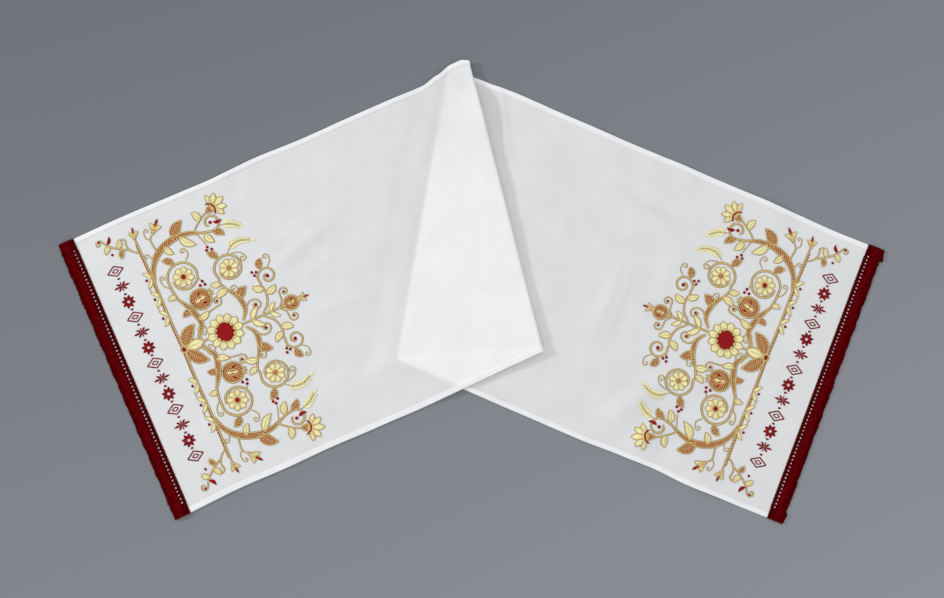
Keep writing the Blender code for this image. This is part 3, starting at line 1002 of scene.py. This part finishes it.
def draw_outer_branch(work):
    """Half of the tall side branches that climb along the hems to a carnation."""
    work.cord("gold", [(127, 146), (124, 158)] + curl((134.5, 163), 11.6, 205, -0.95, 0.5),
              2.3, ends=(0.9, 0.5))
    work.ribbon([(92, 71), (110, 76.5), (125, 90), (133, 110), (133, 130), (126.5, 148)], 3.0, 1.5)
    work.carnation((149, 166), 68, 25)
    work.cord("gold", [(130, 138), (139, 148), (147, 160), (149.5, 166)], 1.8)
    work.tulip((150, 92), 40, 15)
    work.cord("gold", [(124, 88.5), (134, 87), (144, 86.5), (150, 92)], 1.7)
    work.leaf("copper", (133, 113), (151, 131), 12.5, -0.12)
    work.leaf("lemon", (133.5, 121), (116, 136), 9.6, 0.14)
    work.leaf("lemon", (129, 99), (116, 106), 7.6, 0.12)
    work.leaf("lemon", (124.5, 152), (110, 158), 8.6, 0.14)
    work.leaf("copper", (123, 160), (113, 172), 8.8, -0.14)
    work.ear([(127, 171), (123, 184), (115, 195)], 8.0, 6)
    work.leaf("lemon", (141, 150), (155, 146), 8.4, 0.14)
    work.blade("red", (134, 166), (133, 177), 4.8, 0.16, 0.45, 0.9)
    work.berries([(134.5, 162.5)], 2.2)
    work.berries([(107, 147), (102.5, 151), (103.5, 144.5)], 1.9)
    work.tendril([(131, 140), (120, 144), (110, 147)], 1.1)
    work.tendril([(112, 78), (119, 79.5), (126, 77)] + curl((125, 73.8), 3.6, 72, -1.0))
    work.tendril([(143, 86.5), (148, 82), (155, 82.5)] + curl((155.5, 86), 3.4, -98, 1.0))


def draw_middle(work):
    """The stem with its leaves, rosette and crown."""
    work.ring("gold", (0, 71.5), 4.4, 1.6)
    work.disc("red", (0, 71.5), 3.0)
    for side in (-1, 1):
        work.leaf("copper", (0, 74), (24 * side, 94), 14, -0.13 * side, 0.5, 1.6)
    work.leaf("lemon", (0, 74), (0, 97), 13, 0, 0.55, 1.6)
    work.cord("gold", [(-19, 98), (-8, 95.2), (0, 94.6), (8, 95.2), (19, 98)], 2.4, ends=(0.6, 0.6))
    work.cord("gold", [(0, 95), (0, 106)], 2.4, ends=(1, 1))
    work.cord("gold", [(0, 146), (0, 160), (0, 182), (0, 205)], 2.3, ends=(1, 0.8))
    work.rosette((0, 125.5), 12.8, 22.8, 12)
    for side in (-1, 1):
        work.leaf("lemon", (0, 162), (12 * side, 174), 7.0, -0.12 * side, vein=False)
        work.leaf("lemon", (0, 186), (9 * side, 196), 5.6, -0.12 * side, edge=1.0, vein=False)
    work.pomegranate((0, 214), 9.0, 90)
    work.blade("gold", (0, 199), (0, 207), 5, 0, 0.5, 0.7)
    work.tulip((0, 223.5), 90, 11)


def draw_star(work, centre, size):
    """An eight-pointed star of petals."""
    for petal in range(8):
        way = 22.5 + 45 * petal
        work.blade("crimson", *spoke(centre, way, size * 0.16, size), size * 0.46, 0, 0.55, 0.5,
                   pieces=6, blunt=0.08)


def draw_rhomb(work, centre, half_width, half_height, line):
    """A diamond of four straight lines."""
    a, h = centre
    corners = [(a, h + half_height), (a + half_width, h), (a, h - half_height), (a - half_width, h)]
    for start, end in zip(corners, corners[1:] + corners[:1]):
        middle = ((start[0] + end[0]) / 2, (start[1] + end[1]) / 2)
        work.cord("crimson", [start, middle, end], line, ends=(0.9, 0.9), taper=1)


def draw_twin_bud(work, centre, size):
    """Two three-leaved buds, one up and one down, on a bar."""
    for way in (90, -90):
        for swing, length in ((-40, 0.72), (0, 1.0), (40, 0.72)):
            base, tip = polar(centre, size * 0.12, way), polar(centre, size * length, way + swing)
            work.blade("crimson", base, tip, size * 0.27, 0.0025 * swing, 0.55, 0.5, pieces=7)
    a, h = centre
    work.cord("crimson", [(a - 6, h), (a, h), (a + 6, h)], 1.6, ends=(0.7, 0.7), taper=2)


def draw_row(work):
    """The row of small crimson motifs between the band and the branches."""
    height, pitch, count = 32.0, 20.9, 13
    for number in range(count):
        a = (number - (count - 1) / 2) * pitch
        if number % 3 == 0:
            draw_rhomb(work, (a, height), 6.6, 10.4, 1.7)
            draw_rhomb(work, (a, height), 2.6, 4.2, 1.4)
        elif number % 3 == 1:
            draw_twin_bud(work, (a, height), 10.6)
        else:
            draw_star(work, (a, height), 8.8)
        if number < count - 1:
            draw_rhomb(work, (a + pitch / 2, height), 1.0, 1.6, 1.3)


def embroidery():
    """All the strokes of one end."""
    work = Needlework()
    for draw in (draw_base, draw_low_branch, draw_middle_branch, draw_top_branch, draw_outer_branch):
        work.mirrored(draw)
    draw_middle(work)
    draw_row(work)
    return work.strokes


def on_towel(a, h, end):
    """s and t, in metres, of embroidery sizes in mm at one end of the towel."""
    if end == "left":
        return h * MM, WIDTH / 2 + a * MM
    return LENGTH - h * MM, WIDTH / 2 - a * MM


def stroke_rings(stroke, end, layer):
    """The rings of points round a stroke, with their threads and how near its edges they lie."""
    half = np.linalg.norm(stroke.left - stroke.right, axis=1) / 2
    across = np.array(NARROW_PROFILE if 2 * half.max() < NARROW_STROKE else WIDE_PROFILE)
    crown = np.sqrt(np.maximum(1 - np.abs(2 * across - 1) ** CROWN_POWER, 0.0))
    plan = stroke.left[:, None] + (stroke.right - stroke.left)[:, None] * across[:, None]
    plan = np.concatenate([plan, plan[:, [-1]], plan[:, [0]]], axis=1)
    raised = (EDGE_RISE + crown) * stroke.height * STROKE_RISE + layer
    above = np.concatenate([raised, [-STROKE_ROOT, -STROKE_ROOT]])
    s, t = on_towel(plan[..., 0], plan[..., 1], end)
    rings = place(s, t, cloth_top(s, t) + above)
    along = distances((stroke.left + stroke.right) / 2)
    aside = np.concatenate([2 * across - 1, [1.0, -1.0]])
    thread = np.stack(np.broadcast_arrays(along[:, None], half[:, None] * aside), axis=-1) * MM
    border = np.broadcast_to(np.abs(aside), plan.shape[:2])
    return rings, thread, border


def tube_faces(rings, points, first):
    """Faces of a closed tube of rings, the first of its points numbered first."""
    ring = np.arange(points)
    start = first + np.arange(rings - 1)[:, None] * points
    near = start + ring
    near_next = start + np.roll(ring, -1)
    sides = np.stack([near, near_next, near_next + points, near + points], axis=-1).reshape(-1, 4)
    last = first + (rings - 1) * points
    return sides.tolist() + [(first + ring[::-1]).tolist(), (last + ring).tolist()]


def make_embroidery(strokes, end, materials):
    """The embroidery of one end, one piece for each colour of thread."""
    pieces = []
    for colour, material in materials.items():
        points, threads, borders, faces, tones = [], [], [], [], []
        first = 0
        for number, stroke in enumerate(strokes):
            if stroke.colour != colour:
                continue
            rings, thread, border = stroke_rings(stroke, end, LAYER_STEP * (number % LAYER_COUNT))
            faces += tube_faces(*rings.shape[:2], first)
            points.append(rings.reshape(-1, 3))
            threads.append(thread.reshape(-1, 2))
            borders.append(border.reshape(-1))
            tones.append(np.full(border.size, 0.5 + 0.5 * math.sin(TONE_TURN * number)))
            first += border.size
        pieces.append(make_piece(
            f"embroidery_{colour}_{end}", np.concatenate(points), faces, material,
            thread=np.concatenate(threads), border=np.concatenate(borders),
            tone=np.concatenate(tones)))
    return pieces


def uneven(number, seed):
    """A value between 0 and 1 that jumps about from number to number."""
    return np.modf(np.abs(np.sin(number * 12.9898 + seed * 78.233) * 43758.5453))[0]


def stand_out(t, tabs):
    """How far a band's outer edge stands out at its turned-under ends."""
    reach = np.zeros_like(t)
    for (length, at_end, at_tab_end), from_end in zip(tabs, (t, WIDTH - t)):
        part = np.clip(from_end / (length * MM), 0.0, 1.0)
        inside = from_end <= length * MM
        reach = np.where(inside, (at_end + (at_tab_end - at_end) * part) * MM, reach)
    return reach


def tab_part(t, tabs):
    """1 on a band's turned-under ends, 0 between them."""
    ends = [1 - smooth_step((length - 0.5) * MM, (length + 0.5) * MM, from_end)
            for (length, _, _), from_end in zip(tabs, (t, WIDTH - t))]
    return np.maximum(*ends)


def lace_holes(rows, seed):
    """The holes of a band: middle row and column of its grid, cells across and radius."""
    holes = []
    for number, row in enumerate(range(LACE_FIRST_HOLE, rows - LACE_FIRST_HOLE, LACE_REPEAT)):
        radius = HOLE_RADIUS + HOLE_VARIATION * uneven(number, seed)
        holes.append((row + 1.5, LACE_HOLE_COLUMN + 1.5, 3, radius))
        for column, share in FINE_HOLE_COLUMNS:
            if uneven(number, seed + column) < share:
                shift = 3 + int(3 * uneven(number, seed + column + 1))
                holes.append((row + shift + 1, column + 1, 2, FINE_HOLE_RADIUS))
    return holes


def open_holes(out, t, keep, holes, pitch):
    """Takes the cells of each hole out of a band's grid and rounds the hole's rim."""
    for row, column, cells, radius in holes:
        reach = cells / 2
        top, left = round(row - reach), round(column - reach)
        keep[top:top + cells, left:left + cells] = False
        middle_out, middle_t = out[0, 0] + column * pitch[0], t[0, 0] + row * pitch[1]
        for i in range(top, top + cells + 1):
            for j in range(left, left + cells + 1):
                if i in (top, top + cells) or j in (left, left + cells):
                    angle = math.atan2(i - row, j - column)
                    out[i, j] = middle_out + radius * math.cos(angle)
                    t[i, j] = middle_t + radius * math.sin(angle)


def band_reach(out, t, tabs, seed):
    """How far out a band's points lie once it has its picots and turned-under ends."""
    scallop = np.abs(np.sin(math.pi * t / PICOT_PITCH)) * (1 - 0.7 * tab_part(t, tabs))
    picot = PICOT_HEIGHT * scallop
    outer_picot = picot * (0.5 + uneven(np.floor(t / PICOT_PITCH), seed))
    wobble = EDGE_WOBBLE * np.sin(t / (11 * MM) + seed) * np.sin(t / (4.3 * MM) + 2 * seed)
    at_inner = 1 - smooth_step(0.0, INNER_PICOT_ROOT, out)
    at_outer = smooth_step(BAND_WIDTH - OUTER_PICOT_ROOT, BAND_WIDTH, out)
    outer_part = smooth_step(0.6 * BAND_WIDTH, BAND_WIDTH, out)
    return out - picot * at_inner + (outer_picot + wobble) * at_outer + stand_out(t, tabs) * outer_part


def band_thickness(out, t, tabs, seed, cords, hole_line):
    """A band's thickness: twisted cords, thin towards both edges and along its holes."""
    slant = np.where(np.sin(math.pi * out / BRAID_WIDTH) > 0, 1.0, -1.0)
    twist = np.sin(2 * math.pi * (t + slant * 0.8 * out) / BRAID_PITCH)
    swell = np.sin(t / (23 * MM) + seed) * np.sin(out / (6 * MM) + t / (40 * MM))
    yarn = BRAID_RISE * (cords - 0.5 + 0.35 * twist) + BAND_SWELL * swell
    folded = tab_part(t, tabs) * (BAND_TAB_THICKNESS - BAND_THICKNESS)
    inward = np.minimum(out / INNER_ROUNDING, (BAND_WIDTH - out) / OUTER_ROUNDING)
    rounding = np.sqrt(np.clip(inward, 0.0, 1.0))
    edges = BAND_EDGE_PART + (1 - BAND_EDGE_PART) * rounding
    along_holes = 1 - HOLE_LINE_THINNING * np.exp(-((out - hole_line) / HOLE_LINE_WIDTH) ** 2)
    return (BAND_THICKNESS + folded + yarn) * edges * along_holes


def make_band(end, inner_edge, outward, tabs, seed, material):
    """A lace band sewn over a cut end, with its holes, scalloped edges and braided cords."""
    rows, columns = LACE_ROWS + 1, LACE_COLUMNS + 1
    line_out = np.linspace(0.0, BAND_WIDTH, columns)
    line_t = np.linspace(-BAND_OVERHANG, WIDTH + BAND_OVERHANG, rows)
    out, t = (grid.copy() for grid in np.meshgrid(line_out, line_t))
    keep = np.ones((rows - 1, columns - 1), bool)
    open_holes(out, t, keep, lace_holes(rows, seed), (line_out[1], line_t[1] - line_t[0]))

    drop = 1 - smooth_step(DROP_START, DROP_START + BAND_DROP, out)
    seat = (cloth_top(0 * t, np.clip(t, 0.0, WIDTH)) + BAND_SEAT) * drop
    cords = np.abs(np.sin(math.pi * out / BRAID_WIDTH)) ** 0.6
    hole_line = line_out[LACE_HOLE_COLUMN + 1]
    thickness = band_thickness(out, t, tabs, seed, cords, hole_line)
    lower = lay_out(inner_edge(t) + outward * band_reach(out, t, tabs, seed), t)
    lower[..., 2] += seat
    upper = lower.copy()
    upper[..., 2] += thickness

    faces = grid_faces(columns, rows).reshape(rows - 1, columns - 1, 4)[keep]
    if outward < 0:
        faces = faces[:, ::-1]
    used = np.unique(faces)
    renumber = np.zeros(rows * columns, int)
    renumber[used] = np.arange(len(used))
    points = np.concatenate([upper.reshape(-1, 3)[used], lower.reshape(-1, 3)[used]])
    thread = np.stack([t.ravel(), out.ravel()], axis=1)[used]
    return make_piece(
        f"lace_{end}", points, closed_faces(renumber[faces], len(used)), material,
        thread=np.tile(thread, (2, 1)), cord=np.tile(cords.ravel()[used], 2))


class Value:
    """A node's output, which plain sums can add, subtract and multiply."""

    def __init__(self, nodes, socket):
        """Keeps the output's socket and the material's nodes."""
        self.nodes = nodes
        self.socket = socket

    def __add__(self, other):
        """This value and another."""
        return self.nodes.math("ADD", self, other)

    def __sub__(self, other):
        """This value less another."""
        return self.nodes.math("SUBTRACT", self, other)

    def __mul__(self, other):
        """This value times another."""
        return self.nodes.math("MULTIPLY", self, other)

    __radd__ = __add__
    __rmul__ = __mul__


class Nodes:
    """Builds a material's nodes."""

    def __init__(self, name):
        """Starts a material of that name."""
        self.material = bpy.data.materials.new(name)
        self.material.use_nodes = True
        self.tree = self.material.node_tree
        self.shader = self.tree.nodes["Principled BSDF"]

    def feed(self, socket, value):
        """Gives a socket a number, a colour or a node's output."""
        if isinstance(value, Value):
            self.tree.links.new(value.socket, socket)
        else:
            socket.default_value = value

    def node(self, kind, inputs, **settings):
        """A node with its settings and inputs."""
        node = self.tree.nodes.new(kind)
        for name, value in settings.items():
            setattr(node, name, value)
        for name, value in inputs.items():
            self.feed(node.inputs[name], value)
        return node

    def add(self, kind, output, inputs, **settings):
        """One output of a new node."""
        return Value(self, self.node(kind, inputs, **settings).outputs[output])

    def math(self, operation, first, second):
        """The result of a sum on two values."""
        return self.add("ShaderNodeMath", 0, {0: first, 1: second}, operation=operation)

    def mix(self, part, first, second):
        """Between two colours, by a part."""
        inputs = {"Factor": part, "A": first, "B": second}
        return self.add("ShaderNodeMix", "Result", inputs, data_type="RGBA")

    def between(self, value, low, high, soft=True):
        """0 where a value is at low and 1 where it is at high."""
        inputs = {"Value": value, "From Min": low, "From Max": high}
        return self.add("ShaderNodeMapRange", "Result", inputs,
                        interpolation_type="SMOOTHSTEP" if soft else "LINEAR")

    def shade(self, name):
        """A value that the piece's points carry."""
        return self.add("ShaderNodeAttribute", "Fac", {}, attribute_name=name)

    def thread(self):
        """The piece's thread map, in metres along and across."""
        return self.add("ShaderNodeUVMap", "UV", {}, uv_map="thread")

    def plan(self):
        """Places on the surface, in metres."""
        return self.add("ShaderNodeTexCoord", "Object", {})

    def split(self, vector):
        """The three parts of a vector."""
        parts = self.node("ShaderNodeSeparateXYZ", {"Vector": vector}).outputs
        return [Value(self, part) for part in parts]

    def towards(self, vector, direction):
        """How far a vector of the plan reaches in a direction."""
        inputs = {0: vector, 1: (direction[0], direction[1], 0.0)}
        return self.add("ShaderNodeVectorMath", "Value", inputs, operation="DOT_PRODUCT")

    def noise(self, vector, scale, detail=2.0, roughness=0.5):
        """Noise from about 0.25 to 0.75."""
        inputs = {"Vector": vector, "Scale": scale, "Detail": detail, "Roughness": roughness}
        return self.add("ShaderNodeTexNoise", "Fac", inputs)

    def fibres(self, thread, along, across, detail=2.0, roughness=0.5):
        """Noise drawn out into fibres, finer with a larger scale along or across the threads."""
        inputs = {"Vector": thread, "Scale": (along, across, 1.0)}
        stretched = self.add("ShaderNodeMapping", "Vector", inputs)
        return self.noise(stretched, 1.0, detail, roughness)

    def ridges(self, along, pitch):
        """0 to 1 and back over each pitch."""
        return self.math("SINE", along * (2 * math.pi / pitch), 0.0) * 0.5 + 0.5

    def bump(self, height, distance, strength=1.0):
        """Raises the surface by a height of 0 to 1 times a distance."""
        inputs = {"Height": height, "Distance": distance, "Strength": strength}
        self.feed(self.shader.inputs["Normal"], self.add("ShaderNodeBump", "Normal", inputs))

    def finish(self, colour, roughness, gloss):
        """Sets the shader's own sockets and gives back the material."""
        self.feed(self.shader.inputs["Base Color"], colour)
        self.shader.inputs["Roughness"].default_value = roughness
        self.shader.inputs["Specular IOR Level"].default_value = gloss
        return self.material


def grey(value, tint=0.0):
    """A near-white or grey colour, a little bluer with tint."""
    return (value * (1 - tint), value, value * (1 + tint), 1.0)


def inner_side(nodes, plan, through, outward, softness):
    """1 on the inner side of a line of the plan, 0 on its outer side, soft by a distance."""
    line = float(np.dot(through, outward))
    return nodes.between(nodes.towards(plan, outward), line + softness, line - softness)


def layer_whiteness_and_painted_light(nodes, plan):
    """How much whiter the layers of the pleat look than one layer, with painted light on the two-layer
    part and painted shade at the upper corner.
    """
    below_hem = MIDDLE_HEM_LEFT - HIDDEN_HEM * MIDDLE_HEM_OUT
    left_of_crisp = inner_side(nodes, plan, CRISP.at(0.0, CRISP.radius), CRISP.out, 4 * MM)
    right_of_soft = inner_side(nodes, plan, SOFT.at(0.0, SOFT.radius), SOFT.out, 2.6 * MM)
    below_edge = inner_side(nodes, plan, MIDDLE_HEM_RIGHT, LEFT_ACROSS, 0.8 * MM)
    over_middle = inner_side(nodes, plan, MIDDLE_HEM_LEFT, MIDDLE_HEM_OUT, 0.9 * MM)
    over_right = inner_side(nodes, plan, MIDDLE_HEM_LEFT, RIGHT_HEM_OUT, 3.5 * MM)
    hem_line = over_middle - inner_side(nodes, plan, below_hem, MIDDLE_HEM_OUT, 1.5 * MM)
    third = over_middle * (THREE_WHITENESS - TWO_LAYERS_WITH_PAINTED_LIGHT) + hem_line * HEM_LINE_WHITENESS
    # Painted shade: the pleat's whiteness falls off towards its raised upper corner, darkening it
    away_from_apex = nodes.between(nodes.split(plan)[1], *APEX_SHADE_SPAN)
    lifted = away_from_apex * (1 - APEX_SHADED_WHITENESS) + APEX_SHADED_WHITENESS
    pleat = left_of_crisp * right_of_soft * below_edge
    # Over the right arm the two layers carry painted light as well as their show-through
    return pleat * (third + over_right * TWO_LAYERS_WITH_PAINTED_LIGHT) * lifted


def soft_fold_shade(nodes, plan):
    """How much darker the cloth looks beside the soft fold, less so towards the lower hem."""
    edge = float(SOFT.at(0.0, SOFT.radius) @ SOFT.out)
    beside = nodes.towards(plan, SOFT.out) - edge
    strip = nodes.between(beside, *SOFT_SHADE_START) * nodes.between(beside, *SOFT_SHADE_END)
    return strip * nodes.between(nodes.split(plan)[1], *SOFT_SHADE_DOWN) * SOFT_SHADE_DARKNESS


def cloth_material():
    """Plain-woven white cloth, greyer where only one layer lies on the surface."""
    nodes = Nodes("white_linen")
    thread = nodes.thread()
    plan = nodes.plan()
    hems = nodes.shade("hem") * HEM_WHITENESS
    white = nodes.math("MAXIMUM", layer_whiteness_and_painted_light(nodes, plan), hems)
    cloudy = nodes.noise(plan, 22.0, 4.0, 0.6) - 0.5
    slubs = nodes.fibres(thread, 90.0, 1500.0) + nodes.fibres(thread, 1500.0, 90.0)
    tone = cloudy * CLOUDINESS + 1.0 + (slubs - 1.0) * 0.06 - soft_fold_shade(nodes, plan)
    colour = nodes.mix(white, grey(SINGLE_LAYER, 0.012), grey(THREE_LAYERS, 0.004))
    colour = nodes.add("ShaderNodeVectorMath", 0, {0: colour, 1: tone}, operation="MULTIPLY")

    along, across, _ = nodes.split(thread)
    weave = nodes.ridges(along, WEAVE_PITCH) * nodes.ridges(across, WEAVE_PITCH)
    crinkle = nodes.noise(thread, 260.0, 3.0)
    nodes.bump(weave * 0.10 + slubs * 0.10 + crinkle * 0.35, 0.35 * MM, 0.7)
    return nodes.finish(colour, 0.88, 0.25)


def stitch_material():
    """White sewing thread."""
    nodes = Nodes("white_thread")
    fine = nodes.noise(nodes.plan(), 900.0)
    nodes.bump(fine, 0.1 * MM)
    return nodes.finish(nodes.mix(fine, grey(0.70), grey(0.80)), 0.6, 0.4)


def hatching(nodes, along, across, pitch):
    """1 on the crossed threads of a net and 0 in its gaps."""
    first = nodes.ridges(along + across, pitch)
    second = nodes.ridges(along - across, pitch)
    return nodes.between(nodes.math("MAXIMUM", first, second), 0.45, 0.80)


def thread_material(colour):
    """Satin stitch: threads side by side across each stroke, another tone at its two edges."""
    edge, middle, pale = THREAD_COLOURS[colour]
    nodes = Nodes(f"thread_{colour}")
    thread = nodes.thread()
    along, across, _ = nodes.split(thread)
    streaks = nodes.fibres(thread, 2200.0, 160.0)
    patches = nodes.noise(thread, 120.0)
    tone = streaks * 0.6 + patches * 0.4 + (nodes.shade("tone") * 0.2 + 0.5)
    face = nodes.mix(nodes.between(tone, 0.35, 0.80), middle, pale)
    if colour in HATCHING:
        pitch, ground = HATCHING[colour]
        net = hatching(nodes, along, across, pitch)
        face = nodes.mix(net, ground, face)
        nodes.bump(net * 0.8 + streaks * 0.3, 0.25 * MM)
    else:
        threads = nodes.ridges(along + across * THREAD_SLANT, THREAD_PITCH)
        nodes.bump(threads + streaks * 0.8, 0.12 * MM)
    rim = nodes.between(nodes.shade("border"), *THREAD_BORDERS[colour])
    return nodes.finish(nodes.mix(rim, face, edge), 0.5, THREAD_GLOSS[colour])


def lace_material():
    """Deep red crochet yarn with painted shade in the furrows between its cords, and lit fibres, worn
    lighter in its middle.
    """
    nodes = Nodes("crimson_yarn")
    thread = nodes.thread()
    across = nodes.split(thread)[1]
    fibres = nodes.fibres(thread, 700.0, 1400.0, 4.0, 0.65)
    loops = nodes.noise(thread, 420.0)
    patches = nodes.noise(thread, 190.0, 3.0)
    worn = nodes.between(across, *WORN_START) * nodes.between(across, *WORN_END)
    tone = fibres * 0.4 + patches * 0.6 + (worn * 0.16 - 0.12)
    face = nodes.mix(nodes.between(tone, 0.33, 0.67), LACE_DARK, LACE_LIGHT)
    # Painted shade: the yarn darkens in the furrows between its cords
    painted_furrow_shade = nodes.between(nodes.shade("cord"), 0.55, 0.15)
    nodes.bump(loops * 0.7 + fibres * 0.5, 0.4 * MM)
    return nodes.finish(nodes.mix(painted_furrow_shade * 0.6, face, LACE_PAINTED_SHADE), 0.9, 0.0)


def floor_material():
    """A plain grey matt surface with a painted falloff of light, darker towards one corner."""
    nodes = Nodes("grey_floor")
    x, y, _ = nodes.split(nodes.plan())
    # Painted light: the floor's grey falls off from light to shade across it
    painted_light_falloff = nodes.between(y - x * FLOOR_SLANT, *FLOOR_CHANGE, soft=False)
    return nodes.finish(nodes.mix(painted_light_falloff, FLOOR_PAINTED_SHADE, FLOOR_PAINTED_LIGHT), 0.9, 0.1)


def make_floor():
    """The plain floor that the towel lies on."""
    half = FLOOR_SIZE / 2
    corners = [(x * half, y * half, FLOOR_HEIGHT) for x, y in ((-1, -1), (1, -1), (1, 1), (-1, 1))]
    mesh = bpy.data.meshes.new("floor")
    mesh.from_pydata(corners, [], [(0, 1, 2, 3)])
    mesh.materials.append(floor_material())
    floor = bpy.data.objects.new("floor", mesh)
    bpy.context.scene.collection.objects.link(floor)


def make_light(name, place_at, size, power, colour=(1.0, 1.0, 1.0)):
    """A soft square light that faces the towel."""
    light = bpy.data.lights.new(name, "AREA")
    light.shape = "SQUARE"
    light.size = size
    light.energy = power
    light.color = colour
    lamp = bpy.data.objects.new(name, light)
    lamp.location = place_at
    lamp.rotation_euler = (-Vector(place_at)).to_track_quat("-Z", "Y").to_euler()
    bpy.context.scene.collection.objects.link(lamp)


def make_lights():
    """A low soft key from the left, a large light overhead and an even surround."""
    make_light("key", KEY_PLACE, KEY_SIZE, KEY_POWER, KEY_COLOUR)
    make_light("overhead", OVERHEAD_PLACE, OVERHEAD_SIZE, OVERHEAD_POWER)
    world = bpy.data.worlds.new("surround")
    world.use_nodes = True
    surround = world.node_tree.nodes["Background"].inputs
    surround["Color"].default_value = SURROUND_COLOUR
    surround["Strength"].default_value = SURROUND_STRENGTH
    bpy.context.scene.world = world
    bpy.context.scene.view_settings.view_transform = "Standard"


def make_camera():
    """The camera, nearly straight above the towel."""
    lens = bpy.data.cameras.new("camera")
    lens.lens = LENS
    lens.sensor_width = SENSOR_WIDTH
    camera = bpy.data.objects.new("camera", lens)
    camera.rotation_euler = CAMERA_TURN
    away = Euler(CAMERA_TURN).to_matrix() @ Vector((0.0, 0.0, CAMERA_DISTANCE))
    camera.location = Vector(CAMERA_AIM) + away
    bpy.context.scene.collection.objects.link(camera)
    bpy.context.scene.camera = camera


def main():
    """Builds the scene, hides the model's own cloth and bands, and attaches each new piece to the root
    body.
    """
    make_camera()
    make_floor()
    make_lights()
    cloth = make_cloth()
    stitches = make_stitches()
    strokes = embroidery()
    threads = {colour: thread_material(colour) for colour in THREAD_COLOURS}
    sewn = make_embroidery(strokes, "left", threads) + make_embroidery(strokes, "right", threads)
    yarn = lace_material()
    left = make_band("left", left_end, -1, LEFT_BAND_TABS, 1.0, yarn)
    right = make_band("right", right_end, 1, RIGHT_BAND_TABS, 4.0, yarn)

    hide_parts("cloth")
    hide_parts("lace_band_left")
    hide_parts("lace_band_right")
    for piece in [cloth, stitches, left, right] + sewn:
        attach(piece, "root")


main()
